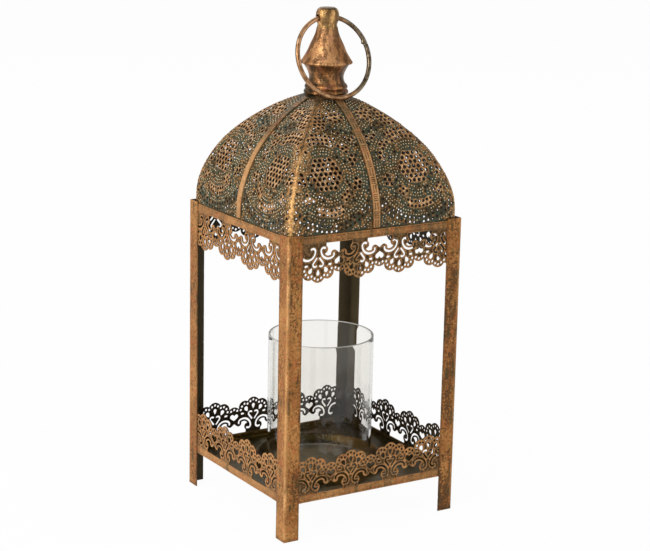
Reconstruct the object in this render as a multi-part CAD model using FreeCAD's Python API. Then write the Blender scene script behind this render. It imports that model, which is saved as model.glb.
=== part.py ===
import FreeCAD, Part
import math
import os

# Punched tin lantern: four corner posts carry pierced friezes, a tray and a pavilion dome
# of eight gores. A turned finial holds a loose ring, and a glass chimney stands in the tray.
# Millimetres, +Z up, origin on the ground in the middle of the four feet, front towards -Y.

# Whole lantern
side = 150.0                    # outer width and depth over the posts
post_height = 230.3
sheet = 0.8                     # tin sheet of posts, strips, tray and gores
clearance = 0.3                 # running gap between loose pieces
seat_gap = 0.05                 # gap between curved sheets soldered one on another
overrun = 2.0                   # how far a cutter passes the sheet that it cuts

# Corner posts, bent from strip to an L
post_flange = 12.5

# Pierced strips: plain band and stamped lace, alike above and below
band = 6.0                      # plain band that carries the lace
lace_pitch = 35.0               # from one palmette to the next
frieze_top = 229.0
front_frieze_shift = 3.2        # the front frieze was cut off centre
gallery_bottom = 28.0

# Window of the lace: measured from a palmette's middle and from the band's edge
stem_half = 6.7                 # half the palmette's stem where it leaves the band
near_lobe_x = 5.0
near_lobe_drop = 4.7
near_lobe_radius = 3.0
arch_x = 8.8
arch_drop = 5.8
arch_radius = 3.9
far_lobe_x = 13.6
far_lobe_drop = 8.4
far_lobe_radius = 2.66
far_lobe_end_deg = -48.0
bridge_drop = 8.2               # edge of the window midway between two palmettes

# Scroll slots, one each side of a stem
slot_width = 1.65
scroll_x = 8.8
scroll_drop = 5.4
scroll_radius = 6.4
near_curl_radius = 2.1
near_curl_deg = 178.0
near_curl_end_deg = 306.0
far_curl_radius = 2.3
far_curl_deg = 58.0
far_curl_end_deg = -12.0

# Comma slots that leave a solid heart in the palmette
comma_width = 1.5
comma_x = 2.6
comma_drop = 15.3
comma_radius = 1.7
comma_start_deg = 130.0
comma_end_deg = -38.0
comma_tail = 4.3

# Tear holes: round end, then pointed end
top_tear_drop = 22.1
top_tear_radius = 1.5
top_tear_tip_drop = 19.8
top_tear_tip_radius = 0.6
side_tear_x = 6.7
side_tear_drop = 20.0
side_tear_radius = 1.7
side_tear_tip_x = 5.7
side_tear_tip_drop = 18.2
side_tear_tip_radius = 0.7
leaf_x = 10.6
leaf_drop = 16.0
leaf_radius = 0.9
leaf_tip_x = 9.2
leaf_tip_drop = 15.9
leaf_tip_radius = 0.75

# Open heart between two palmettes
heart_point_drop = 10.7
heart_lobe_drop = 14.3
heart_lobe_offset = 1.84
heart_lobe_radius = 1.9

# Row of round holes along the lace's edge: shares of half the pitch, and of the lace's drop
bead_radius = 0.98
bead_shares = (
    (0.154, 0.885),
    (0.303, 0.823),
    (0.463, 0.833),
    (0.594, 0.764),
    (0.657, 0.667),
    (0.840, 0.660),
)
top_bead_drop = 26.6
between_bead_drop = 20.2

# Scalloped edge: lobes round the palmette's top, its shoulders and the gap's middle
crest_drop = 23.0
crest_radius = 5.8
shoulder_x = 7.8
shoulder_drop = 21.2
shoulder_radius = 5.3
between_drop = 16.6
between_radius = 5.6

# Tray: flat pan with a turned-up edge and a round pressed ridge that keeps the glass in place
tray_edge_height = 5.2
ridge_radius = 48.8             # to the ridge's crest
ridge_height = 6.6
ridge_foot_inner = 42.6
ridge_foot_outer = 54.2
ridge_crest_radius = 1.2

# Glass chimney, open at both ends
glass_radius = 40.6
glass_wall = 2.2
glass_height = 103.2

# Dome: outline of a face as shares of its reach at the eave and of its rise, and the hips' bend
dome_skirt = 5.0                # depth of the dome behind the frieze
dome_rise = 94.3
profile_shares = (
    (1.0, 0.0),
    (1.0, 0.095),
    (0.996, 0.180),
    (0.973, 0.286),
    (0.896, 0.451),
    (0.765, 0.626),
    (0.620, 0.753),
    (0.495, 0.840),
    (0.279, 0.953),
    (0.158, 1.0),
)
dome_levels = 18                # sections that the loft passes through
hip_bend_eave = 8.0
hip_bend_crown = 3.6

# Punched holes of a gore: a six-sided field, two bowed rows below it and a row at the eave
field_x = 37.5                  # from the middle of the face
field_rise = 46.0               # from the dome's foot
field_pitch = 4.1
field_hole_radius = 1.2
field_rings = 3
row_x = 36.5
row_rise = 20.0
row_bow_radius = 26.0
row_pitch = 3.9
row_step = 3.6
row_holes = (7, 6)
row_hole_radius = 1.1
eave_row_rise = 10.5
eave_row_pitch = 6.2
eave_row_start = 7.0
eave_hole_radius = 0.95

# Straps along the middle of each face
strap_width = 6.3
strap_thickness = 0.9
strap_foot_rise = 0.6           # above the frieze
strap_head_drop = 2.5           # below the crown

# Finial: spun foot and bell, turned knob, rod, washer and nut
flange_radius = 16.6
flange_thickness = 2.4
foot_drum_radius = 14.9
foot_drum_rise = 6.6
waist_radius = 13.2
waist_rise = 11.8
foot_top_radius = 17.4
foot_top_rise = 22.4
rim_radius = 19.6
rim_thickness = 1.5
bell_mid_radius = 13.2
bell_mid_rise = 35.8
neck_radius = 8.4
neck_rise = 45.6
knob_foot_rise = 48.6
spun_wall = 1.0
knob_radius = 8.75
knob_height = 15.4
knob_corner = 2.6
rod_radius = 2.4
rod_above_neck = 1.6
rod_below_dome = 11.0
washer_radius = 16.0
washer_thickness = 1.2
washer_drop = 3.4
nut_across_flats = 8.0
nut_height = 4.0

# Ring handle
ring_radius = 30.6              # to the wire's middle
ring_wire_radius = 1.8

# Sizes that follow
half = side / 2
strip_face = half - sheet       # outer face of the strips, against the posts' flanges
strip_back = strip_face - sheet
lace_drop = crest_drop + crest_radius
gap_middle = lace_pitch / 2     # from a palmette to the open heart beside it
gallery_edge = gallery_bottom + band
frieze_edge = frieze_top - band
tray_top = gallery_bottom + sheet
eave_reach = strip_back - seat_gap
dome_foot = frieze_top - dome_skirt
crown_z = dome_foot + dome_rise
neck_z = crown_z + neck_rise
knob_z = crown_z + knob_foot_rise
across_knob = ring_radius - math.sqrt(ring_radius ** 2 - knob_radius ** 2)
hinge_offset = ring_radius - across_knob / 2
hole_radius = ring_wire_radius + across_knob / 2 + clearance
hinge_z = knob_z + knob_height / 2

UP = FreeCAD.Vector(0, 0, 1)
ORIGIN = FreeCAD.Vector(0, 0, 0)


def save(name, shape):
    shape.exportStep("parts/" + name + ".step")


def turned(shape, degrees):
    """A copy of the shape, turned about the lantern's upright axis."""
    copy = shape.copy()
    copy.rotate(ORIGIN, UP, degrees)
    return copy


def polar(centre, radius, degrees):
    angle = math.radians(degrees)
    return (centre[0] + radius * math.cos(angle), centre[1] + radius * math.sin(angle))


def flat(point):
    """A point of the lace's plane: x across, and the drop from the band's edge as z."""
    return FreeCAD.Vector(point[0], 0, point[1])


def line(start, end):
    return Part.LineSegment(flat(start), flat(end)).toShape()


def arc(centre, radius, start, end):
    """Arc from one bearing to the other, by the sign of their difference."""
    ends = [flat(polar(centre, radius, bearing)) for bearing in (start, (start + end) / 2, end)]
    return Part.Arc(*ends).toShape()


def ring_hole(centre, radius):
    return Part.Wire([Part.Circle(flat(centre), FreeCAD.Vector(0, 1, 0), radius).toShape()])


def bearing(start, end):
    return math.degrees(math.atan2(end[1] - start[1], end[0] - start[0]))


def crossing(first, first_radius, second, second_radius, turn):
    """Where two circles meet, on the left (turn 1) or right (turn -1) of first to second."""
    apart = math.dist(first, second)
    cosine = (apart ** 2 + first_radius ** 2 - second_radius ** 2) / (2 * apart * first_radius)
    return polar(first, first_radius, bearing(first, second) + turn * math.degrees(math.acos(cosine)))


def near_turn(angle, reference):
    """The same bearing, within half a turn of the reference."""
    return angle + 360 * round((reference - angle) / 360)


def bent_slot(arcs, tail, width):
    """Outline of a round-ended slot along clockwise arcs, then a straight tail."""
    wide = width / 2
    outer = [arc(centre, radius + wide, start, end) for centre, radius, start, end in arcs]
    inner = [arc(centre, radius - wide, end, start) for centre, radius, start, end in reversed(arcs)]
    centre, radius, _, last = arcs[-1]
    ahead = (tail * math.sin(math.radians(last)), -tail * math.cos(math.radians(last)))
    tip = polar(centre, radius, last)
    tip = (tip[0] + ahead[0], tip[1] + ahead[1])
    edges = list(outer)
    if tail > 0:
        edges.append(line(polar(centre, radius + wide, last), polar(tip, wide, last)))
    edges.append(arc(tip, wide, last, last - 180))
    if tail > 0:
        edges.append(line(polar(tip, wide, last - 180), polar(centre, radius - wide, last)))
    edges += inner
    centre, radius, first, _ = arcs[0]
    edges.append(arc(polar(centre, radius, first), wide, first + 180, first))
    return Part.Wire(edges)


def tear(centre, radius, tip, tip_radius):
    """Outline of a round hole drawn out to a smaller round tip."""
    apart = math.dist(centre, tip)
    lean = math.degrees(math.acos((radius - tip_radius) / apart))
    way = bearing(centre, tip)
    return Part.Wire([
        arc(centre, radius, way + lean, way + 360 - lean),
        line(polar(centre, radius, way - lean), polar(tip, tip_radius, way - lean)),
        arc(tip, tip_radius, way - lean, way + lean),
        line(polar(tip, tip_radius, way + lean), polar(centre, radius, way + lean)),
    ])


def scroll_slot():
    scroll = (scroll_x, scroll_drop)
    near = polar(scroll, scroll_radius - near_curl_radius, near_curl_deg)
    far = polar(scroll, scroll_radius - far_curl_radius, far_curl_deg)
    return bent_slot(
        [
            (near, near_curl_radius, near_curl_end_deg, near_curl_deg),
            (scroll, scroll_radius, near_curl_deg, far_curl_deg),
            (far, far_curl_radius, far_curl_deg, far_curl_end_deg),
        ],
        0,
        slot_width,
    )


def comma_slot():
    return bent_slot(
        [((comma_x, comma_drop), comma_radius, comma_start_deg, comma_end_deg)],
        comma_tail,
        comma_width,
    )


def palmette_holes():
    """Every hole on the right of a palmette's middle, up to the open heart."""
    holes = [scroll_slot(), comma_slot()]
    holes.append(tear((side_tear_x, side_tear_drop), side_tear_radius,
                      (side_tear_tip_x, side_tear_tip_drop), side_tear_tip_radius))
    holes.append(tear((leaf_x, leaf_drop), leaf_radius, (leaf_tip_x, leaf_tip_drop), leaf_tip_radius))
    for across_share, drop_share in bead_shares:
        holes.append(ring_hole((across_share * gap_middle, drop_share * lace_drop), bead_radius))
    return holes


def middle_holes():
    """The holes on a palmette's own middle line."""
    return [
        tear((0, top_tear_drop), top_tear_radius, (0, top_tear_tip_drop), top_tear_tip_radius),
        ring_hole((0, top_bead_drop), bead_radius),
    ]


def window_half():
    """Right-hand edges of a window, from the band to the middle, seen from its left palmette."""
    near = (near_lobe_x, near_lobe_drop)
    arch = (arch_x, arch_drop)
    far = (far_lobe_x, far_lobe_drop)
    sill = near_lobe_drop - math.sqrt(near_lobe_radius ** 2 - (stem_half - near_lobe_x) ** 2)
    shoulder = crossing(near, near_lobe_radius, arch, arch_radius, 1)
    throat = crossing(arch, arch_radius, far, far_lobe_radius, 1)
    foot = (stem_half, sill)
    last = polar(far, far_lobe_radius, far_lobe_end_deg)
    throat_turn = near_turn(bearing(far, throat), 180)
    return [
        line((stem_half, 0), foot),
        arc(near, near_lobe_radius, bearing(near, foot), bearing(near, shoulder)),
        arc(arch, arch_radius, near_turn(bearing(arch, shoulder), 180), bearing(arch, throat)),
        arc(far, far_lobe_radius, throat_turn, far_lobe_end_deg + 360),
        line(last, (gap_middle, bridge_drop)),
    ]


def mirrored(edges, x):
    """The edges seen in a mirror that stands across the band at x."""
    return [edge.mirror(flat((x, 0)), FreeCAD.Vector(1, 0, 0)) for edge in edges]


def gap_holes():
    """Window, open heart and bead midway between two palmettes."""
    left = window_half()
    sill = line((stem_half, 0), (lace_pitch - stem_half, 0))
    window = Part.Wire(Part.__sortEdges__(left + mirrored(left, gap_middle) + [sill]))
    point = (gap_middle, heart_point_drop)
    lobe = (gap_middle + heart_lobe_offset, heart_lobe_drop)
    away = math.dist(point, lobe)
    lean = math.degrees(math.acos(heart_lobe_radius / away))
    touch = bearing(lobe, point) + lean
    notch = math.degrees(math.acos(-heart_lobe_offset / heart_lobe_radius))
    right = [
        line(point, polar(lobe, heart_lobe_radius, touch)),
        arc(lobe, heart_lobe_radius, touch, notch),
    ]
    heart = Part.Wire(Part.__sortEdges__(right + mirrored(right, gap_middle)))
    return [window, heart, ring_hole((gap_middle, between_bead_drop), bead_radius)]


def scallop_half():
    """Lace's edge from a palmette's middle to the middle of the gap on its right."""
    crest = (0, crest_drop)
    shoulder = (shoulder_x, shoulder_drop)
    between = (gap_middle, between_drop)
    first = crossing(crest, crest_radius, shoulder, shoulder_radius, 1)
    second = crossing(shoulder, shoulder_radius, between, between_radius, 1)
    return [
        arc(crest, crest_radius, 90, bearing(crest, first)),
        arc(shoulder, shoulder_radius, bearing(shoulder, first), bearing(shoulder, second)),
        arc(between, between_radius, bearing(between, second), 90),
    ]


def moved(shape, x):
    copy = shape.copy()
    copy.translate(FreeCAD.Vector(x, 0, 0))
    return copy


def lace_strip(shift):
    """Band and lace as one pierced sheet, in x and drop, with its outer face at y zero."""
    end = strip_back
    palmettes = int(2 * (end - abs(shift)) / lace_pitch)
    first = shift - lace_pitch * (palmettes - 1) / 2
    gap_drop = between_drop + between_radius
    edge = scallop_half()
    edges = []
    holes = []
    for number in range(palmettes):
        middle = first + number * lace_pitch
        edges += [moved(piece, middle) for piece in edge + mirrored(edge, 0)]
        right = palmette_holes()
        holes += [moved(hole, middle) for hole in right + mirrored(right, 0) + middle_holes()]
        if number < palmettes - 1:
            holes += [moved(hole, middle) for hole in gap_holes()]
    start = first - gap_middle
    stop = first + palmettes * lace_pitch - gap_middle
    edges += [
        line((start, gap_drop), (-end, gap_drop)),
        line((-end, gap_drop), (-end, -band)),
        line((-end, -band), (end, -band)),
        line((end, -band), (end, gap_drop)),
        line((end, gap_drop), (stop, gap_drop)),
    ]
    outline = Part.Wire(Part.__sortEdges__(edges))
    face = Part.makeFace([outline] + holes, "Part::FaceMakerBullseye")
    return face.extrude(FreeCAD.Vector(0, sheet, 0))


def gallery_strip():
    strip = lace_strip(0)
    strip.translate(FreeCAD.Vector(0, -strip_face, gallery_edge))
    return strip


def frieze_strip(shift):
    strip = lace_strip(shift).mirror(ORIGIN, UP)
    strip.translate(FreeCAD.Vector(0, -strip_face, frieze_edge))
    return strip


def post():
    """Post at the front left corner."""
    corner = -half
    outline = [
        (corner, corner),
        (corner + post_flange, corner),
        (corner + post_flange, corner + sheet),
        (corner + sheet, corner + sheet),
        (corner + sheet, corner + post_flange),
        (corner, corner + post_flange),
        (corner, corner),
    ]
    wire = Part.makePolygon([FreeCAD.Vector(x, y, 0) for x, y in outline])
    return Part.Face(wire).extrude(UP * post_height)


def square_plate(reach, bottom, height):
    corner = FreeCAD.Vector(-reach, -reach, bottom)
    return Part.makeBox(2 * reach, 2 * reach, height, corner)


def lathe(points):
    """Solid turned about the upright axis from a closed outline of radius and height."""
    outline = [FreeCAD.Vector(radius, 0, height) for radius, height in points]
    wire = Part.makePolygon(outline + [outline[0]])
    return Part.Face(wire).revolve(ORIGIN, UP, 360)


def ridge_line(drop):
    """Section of the pressed ridge's outer or inner skin, as points of radius and height."""
    crest = tray_top + ridge_height - drop
    foot = tray_top - drop
    return [
        (ridge_foot_inner, foot),
        (ridge_radius - ridge_crest_radius, crest - ridge_crest_radius / 2),
        (ridge_radius, crest),
        (ridge_radius + ridge_crest_radius, crest - ridge_crest_radius / 2),
        (ridge_foot_outer, foot),
    ]


def tray():
    reach = strip_back
    pan = square_plate(reach, gallery_bottom, sheet)
    rim = square_plate(reach, gallery_bottom, sheet + tray_edge_height)
    rim = rim.cut(square_plate(reach - sheet, gallery_bottom - overrun, tray_edge_height + 2 * overrun + sheet))
    hole = Part.makeCylinder(ridge_foot_outer, sheet + 2 * overrun,
                             FreeCAD.Vector(0, 0, gallery_bottom - overrun))
    floor = Part.makeCylinder(ridge_foot_inner, sheet, FreeCAD.Vector(0, 0, gallery_bottom))
    ridge = lathe(ridge_line(0) + list(reversed(ridge_line(sheet))))
    return pan.cut(hole).fuse([rim, floor, ridge]).removeSplitter()


def glass():
    base = FreeCAD.Vector(0, 0, tray_top)
    outer = Part.makeCylinder(glass_radius, glass_height, base)
    inner = Part.makeCylinder(glass_radius - glass_wall, glass_height + 2 * overrun, base - UP * overrun)
    return outer.cut(inner)


def dome_curve():
    """Curve of a face along its middle, with the reach from the axis as x and height as z."""
    curve = Part.BSplineCurve()
    points = []
    for reach_share, rise_share in profile_shares:
        points.append(FreeCAD.Vector(reach_share * eave_reach, 0, dome_foot + rise_share * dome_rise))
    curve.interpolate(points)
    return curve


CURVE = dome_curve()


def curve_at_height(height):
    """Parameter of the dome's curve at a height, by halving."""
    low = CURVE.FirstParameter
    high = CURVE.LastParameter
    for _ in range(40):
        middle = (low + high) / 2
        if CURVE.value(middle).z < height:
            low = middle
        else:
            high = middle
    return middle


def dome_normal(parameter):
    """Unit vector out of the dome's front face, in y and z."""
    way = CURVE.tangent(parameter)[0]
    return FreeCAD.Vector(0, -way.z, -way.x)


def gore_section(parameter):
    """Closed section of the front face's right-hand gore at one height."""
    place = CURVE.value(parameter)
    reach = place.x
    thickness = sheet / abs(dome_normal(parameter).y)
    bend = hip_bend_crown + (hip_bend_eave - hip_bend_crown) * reach / eave_reach
    centre = (reach - bend, -(reach - bend))
    level = FreeCAD.Vector(0, 0, place.z)

    def at(point):
        return FreeCAD.Vector(point[0], point[1], 0) + level

    def bent(radius, bearings):
        return Part.Arc(*[at(polar(centre, radius, degrees)) for degrees in bearings]).toShape()

    outer_bend = (-90, -67.5, -45)
    inner_bend = (-45, -67.5, -90)
    inside = bend - thickness
    return Part.Wire([
        Part.LineSegment(at((0, -reach)), at((centre[0], -reach))).toShape(),
        bent(bend, outer_bend),
        Part.LineSegment(at(polar(centre, bend, -45)), at(polar(centre, inside, -45))).toShape(),
        bent(inside, inner_bend),
        Part.LineSegment(at((centre[0], thickness - reach)), at((0, thickness - reach))).toShape(),
        Part.LineSegment(at((0, thickness - reach)), at((0, -reach))).toShape(),
    ])


def punch(x, parameter, across, up, radius):
    """Round cutter through the front face, offset along the sheet from a point of it."""
    place = CURVE.value(parameter)
    out = dome_normal(parameter)
    along = FreeCAD.Vector(0, -out.z, out.y) * -1
    middle = FreeCAD.Vector(x + across, -place.x, place.z) + along * up
    depth = sheet + 2 * overrun
    return Part.makeCylinder(radius, 2 * depth, middle - out * depth, out)


def gore_punches():
    """Cutters of the right-hand gore: six-sided field, two bowed rows and a row at the eave."""
    cutters = []
    at_field = curve_at_height(dome_foot + field_rise)
    for row in range(-field_rings, field_rings + 1):
        count = 2 * field_rings + 1 - abs(row)
        for number in range(count):
            across = (number - (count - 1) / 2) * field_pitch
            up = row * field_pitch * math.sqrt(3) / 2
            cutters.append(punch(field_x, at_field, across, up, field_hole_radius))
    at_row = curve_at_height(dome_foot + row_rise)
    for level, count in enumerate(row_holes):
        for number in range(count):
            across = (number - (count - 1) / 2) * row_pitch
            bow = row_bow_radius - math.sqrt(row_bow_radius ** 2 - across ** 2)
            cutters.append(punch(row_x, at_row, across, bow - level * row_step, row_hole_radius))
    at_eave = curve_at_height(dome_foot + eave_row_rise)
    eave_flat = eave_reach - hip_bend_eave - eave_hole_radius
    for number in range(1 + int((eave_flat - eave_row_start) / eave_row_pitch)):
        cutters.append(punch(eave_row_start, at_eave, number * eave_row_pitch, 0, eave_hole_radius))
    return cutters


def gore():
    """Right-hand gore of the front face."""
    span = CURVE.LastParameter - CURVE.FirstParameter
    steps = [CURVE.FirstParameter + span * number / (dome_levels - 1) for number in range(dome_levels)]
    sections = [gore_section(parameter) for parameter in steps]
    solid = Part.makeLoft(sections, True, False)
    return solid.cut(gore_punches())


def strap():
    """Strap over the joint in the middle of the front face."""
    first = curve_at_height(frieze_top + strap_foot_rise)
    last = curve_at_height(crown_z - strap_head_drop)
    span = last - first
    steps = [first + span * number / (dome_levels - 1) for number in range(dome_levels)]
    start_x = -strap_width / 2

    def skin(lift):
        points = []
        for parameter in steps:
            place = CURVE.value(parameter)
            out = dome_normal(parameter)
            points.append(FreeCAD.Vector(start_x, -place.x, place.z) + out * lift)
        curve = Part.BSplineCurve()
        curve.interpolate(points)
        return curve.toShape(), points[0], points[-1]

    under, under_foot, under_head = skin(seat_gap)
    over, over_foot, over_head = skin(seat_gap + strap_thickness)
    outline = Part.Wire([
        under,
        Part.LineSegment(under_head, over_head).toShape(),
        over,
        Part.LineSegment(over_foot, under_foot).toShape(),
    ])
    return Part.Face(outline).extrude(FreeCAD.Vector(strap_width, 0, 0))


def finial_foot():
    """Spun foot: flange, waist and flared top, open inside."""
    flange_top = crown_z + flange_thickness
    top = crown_z + foot_top_rise
    return lathe([
        (rod_radius, crown_z),
        (flange_radius, crown_z),
        (flange_radius, flange_top),
        (foot_drum_radius, flange_top),
        (foot_drum_radius, crown_z + foot_drum_rise),
        (waist_radius, crown_z + waist_rise),
        (foot_top_radius, top),
        (foot_top_radius - spun_wall, top),
        (waist_radius - spun_wall, crown_z + waist_rise),
        (foot_drum_radius - spun_wall, crown_z + foot_drum_rise),
        (foot_drum_radius - spun_wall, crown_z + spun_wall),
        (rod_radius, crown_z + spun_wall),
    ])


def finial_bell():
    """Spun bell: sharp rim, hollow cone and neck, closed by a seat for the knob."""
    rim = crown_z + foot_top_rise
    middle = crown_z + bell_mid_rise
    return lathe([
        (foot_top_radius - spun_wall, rim),
        (rim_radius, rim),
        (rim_radius, rim + rim_thickness),
        (bell_mid_radius, middle),
        (neck_radius, neck_z),
        (neck_radius, knob_z),
        (rod_radius, knob_z),
        (rod_radius, knob_z - spun_wall),
        (neck_radius - spun_wall, knob_z - spun_wall),
        (neck_radius - spun_wall, neck_z),
        (bell_mid_radius - spun_wall, middle),
        (rim_radius - 2 * spun_wall, rim + rim_thickness),
        (foot_top_radius - spun_wall, rim + rim_thickness / 2),
    ])


def finial_knob():
    """Round drum with softened edges, bored across for the ring and from below for the rod."""
    drum = Part.makeCylinder(knob_radius, knob_height, FreeCAD.Vector(0, 0, knob_z))
    ends = [edge for edge in drum.Edges if isinstance(edge.Curve, Part.Circle)]
    drum = drum.makeFillet(knob_corner, ends)
    across = FreeCAD.Vector(1, 0, 0)
    reach = knob_radius + overrun
    bore = Part.makeCylinder(hole_radius, 2 * reach, FreeCAD.Vector(-reach, 0, hinge_z), across)
    socket = Part.makeCylinder(rod_radius, rod_above_neck + overrun, FreeCAD.Vector(0, 0, knob_z - overrun))
    return drum.cut(bore).cut(socket)


def finial_rod():
    bottom = crown_z - rod_below_dome
    return Part.makeCylinder(rod_radius, knob_z + rod_above_neck - bottom, FreeCAD.Vector(0, 0, bottom))


def crown_washer():
    base = FreeCAD.Vector(0, 0, crown_z - washer_drop - washer_thickness)
    disc = Part.makeCylinder(washer_radius, washer_thickness, base)
    bore = Part.makeCylinder(rod_radius, washer_thickness + 2 * overrun, base - UP * overrun)
    return disc.cut(bore)


def crown_nut():
    base = crown_z - washer_drop - washer_thickness - nut_height
    corner = nut_across_flats / math.sqrt(3)
    points = [polar((0, 0), corner, number * 60) for number in range(7)]
    wire = Part.makePolygon([FreeCAD.Vector(x, y, base) for x, y in points])
    hexagon = Part.Face(wire).extrude(UP * nut_height)
    bore = Part.makeCylinder(rod_radius, nut_height + 2 * overrun, FreeCAD.Vector(0, 0, base - overrun))
    return hexagon.cut(bore)


def ring_rest():
    """Degrees forward of straight down at which the ring's foot lies on the front strap."""
    face = CURVE.toShape()
    lift = ring_wire_radius + clearance + seat_gap + strap_thickness
    arm = hinge_offset + ring_radius
    inside = math.degrees(math.asin(flange_radius / arm))
    outside = 90
    for _ in range(40):
        tilt = (inside + outside) / 2
        reach = arm * math.sin(math.radians(tilt))
        drop = arm * math.cos(math.radians(tilt))
        if Part.Vertex(reach, 0, hinge_z - drop).distToShape(face)[0] < lift:
            inside = tilt
        else:
            outside = tilt
    return outside


def ring_handle():
    """Round wire ring, its top inside the knob's cross hole and its foot resting forward."""
    ring = Part.makeTorus(ring_radius, ring_wire_radius, ORIGIN, FreeCAD.Vector(0, 1, 0))
    ring.translate(UP * -hinge_offset)
    ring.rotate(ORIGIN, FreeCAD.Vector(1, 0, 0), -ring_rest())
    ring.translate(UP * hinge_z)
    return ring


def main():
    os.makedirs("parts", exist_ok=True)
    right_gore = gore()
    left_gore = right_gore.mirror(ORIGIN, FreeCAD.Vector(1, 0, 0))
    corners = ("front_left", "front_right", "back_right", "back_left")
    faces = ("front", "right", "back", "left")
    for number, corner in enumerate(corners):
        save("post_" + corner, turned(post(), 90 * number))
    for number, face in enumerate(faces):
        turn = 90 * number
        neighbours = (faces[number - 1], faces[(number + 1) % len(faces)])
        shift = front_frieze_shift if face == "front" else 0
        save("frieze_" + face, turned(frieze_strip(shift), turn))
        save("gallery_" + face, turned(gallery_strip(), turn))
        save("gore_" + face + "_" + neighbours[0], turned(left_gore, turn))
        save("gore_" + face + "_" + neighbours[1], turned(right_gore, turn))
        save("strap_" + face, turned(strap(), turn))
    save("tray", tray())
    save("glass_chimney", glass())
    save("finial_foot", finial_foot())
    save("finial_bell", finial_bell())
    save("finial_knob", finial_knob())
    save("finial_rod", finial_rod())
    save("crown_washer", crown_washer())
    save("crown_nut", crown_nut())
    save("ring_handle", ring_handle())
    print("hinge at", hinge_z, "ring rests", ring_rest(), "degrees forward of straight down")


main()
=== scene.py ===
import math

import bpy
import numpy as np
from mathutils import Matrix, Vector, geometry


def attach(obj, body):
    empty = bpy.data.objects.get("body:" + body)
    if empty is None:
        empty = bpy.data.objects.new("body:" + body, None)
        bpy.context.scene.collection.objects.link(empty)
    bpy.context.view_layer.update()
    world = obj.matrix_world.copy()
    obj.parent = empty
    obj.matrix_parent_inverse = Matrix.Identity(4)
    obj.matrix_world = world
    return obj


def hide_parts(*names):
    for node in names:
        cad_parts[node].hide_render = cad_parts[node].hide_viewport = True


# Punched tin lantern: pierced strips, punched dome, spun finial, tray and glass dressed over
# the solids. Lengths are millimetres until a mesh is made, and the front looks towards -Y.

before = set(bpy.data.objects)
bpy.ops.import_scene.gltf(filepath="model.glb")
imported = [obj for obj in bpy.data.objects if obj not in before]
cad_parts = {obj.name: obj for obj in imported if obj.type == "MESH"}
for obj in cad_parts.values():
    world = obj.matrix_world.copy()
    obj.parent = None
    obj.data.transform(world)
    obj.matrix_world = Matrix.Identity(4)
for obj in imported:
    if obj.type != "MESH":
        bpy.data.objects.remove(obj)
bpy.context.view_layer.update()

MM = 0.001

# Sizes that the solids have too
HALF = 75.0
POST_HEIGHT = 230.3
POST_FLANGE = 12.5
SHEET = 0.8
STRIP_FACE = 74.2
BAND = 6.0
SEAT_GAP = 0.05
TRAY_TOP = 28.8
TRAY_REACH = 73.4
TRAY_EDGE = 5.2
RIDGE_RADIUS = 48.8
DOME_FOOT = 224.0
DOME_RISE = 94.3
EAVE_REACH = 73.35
CROWN_Z = DOME_FOOT + DOME_RISE
PROFILE_SHARES = (
    (1.0, 0.0), (1.0, 0.095), (0.996, 0.180), (0.973, 0.286), (0.896, 0.451),
    (0.765, 0.626), (0.620, 0.753), (0.495, 0.840), (0.279, 0.953), (0.158, 1.0),
)
HIP_BEND_EAVE = 8.0
HIP_BEND_CROWN = 3.6
STRAP_WIDTH = 6.3
STRAP_THICKNESS = 0.9
GLASS_RADIUS = 40.6
GLASS_HEIGHT = 103.2
KNOB_Z = 366.9
KNOB_RADIUS = 8.75
BORE = 2.7
HINGE_Z = 374.6
HINGE_OFFSET = 29.97
RING_RADIUS = 30.6
RING_WIRE = 1.8
RING_REST = math.radians(19.459)

# Sizes of the dressed pieces alone
PUNCHED_SHEET = 0.55
GLASS_WALL = 1.4
ROD_HOLE = 2.6                    # radius
DOT_RISE = 0.30

BATCH = 500                       # points compared at once
FACES = ("front", "right", "back", "left")
CORNERS = ("front_left", "front_right", "back_right", "back_left")


# Numbers and curves

def joined(*parts):
    """Points from their coordinates, each of which is spread to the shape that all share."""
    return np.stack(np.broadcast_arrays(*parts), -1)


def round_of(count):
    """Evenly spaced bearings once round, in radians."""
    return 2 * np.pi * np.arange(count) / count


def on_circle(centre, radius, bearings):
    """Points at a radius from a centre, at bearings in radians."""
    return joined(centre[0] + radius * np.cos(bearings), centre[1] + radius * np.sin(bearings))


def round_axis(radius, bearings, height):
    """Points at a radius from the upright axis, at bearings in radians, and at a height."""
    return joined(radius * np.cos(bearings), radius * np.sin(bearings), height)


def drift(points, size, seed):
    """Smooth random field from about -1 to 1: eight waves of about one length and random ways."""
    chance = np.random.default_rng(seed)
    ways = chance.normal(size=(8, points.shape[-1]))
    ways *= (2 * np.pi / size) / np.linalg.norm(ways, axis=1, keepdims=True)
    ways *= chance.uniform(0.6, 1.5, (8, 1))
    return np.cos(points @ ways.T + chance.uniform(0, 2 * np.pi, 8)).sum(-1) / 3.2


def smoothstep(low, high, values):
    """Rises from 0 at low to 1 at high as 3t^2 - 2t^3."""
    share = np.clip((values - low) / (high - low), 0, 1)
    return share * share * (3 - 2 * share)


def lengths_along(points):
    """Length along a line of points from its start to each of them."""
    return np.concatenate(([0], np.cumsum(np.linalg.norm(np.diff(points, axis=0), axis=1))))


def at_lengths(along, lengths, points):
    """Coordinates at lengths along a line, from its own points and their lengths."""
    return [np.interp(along, lengths, coordinate) for coordinate in points.T]


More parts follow.
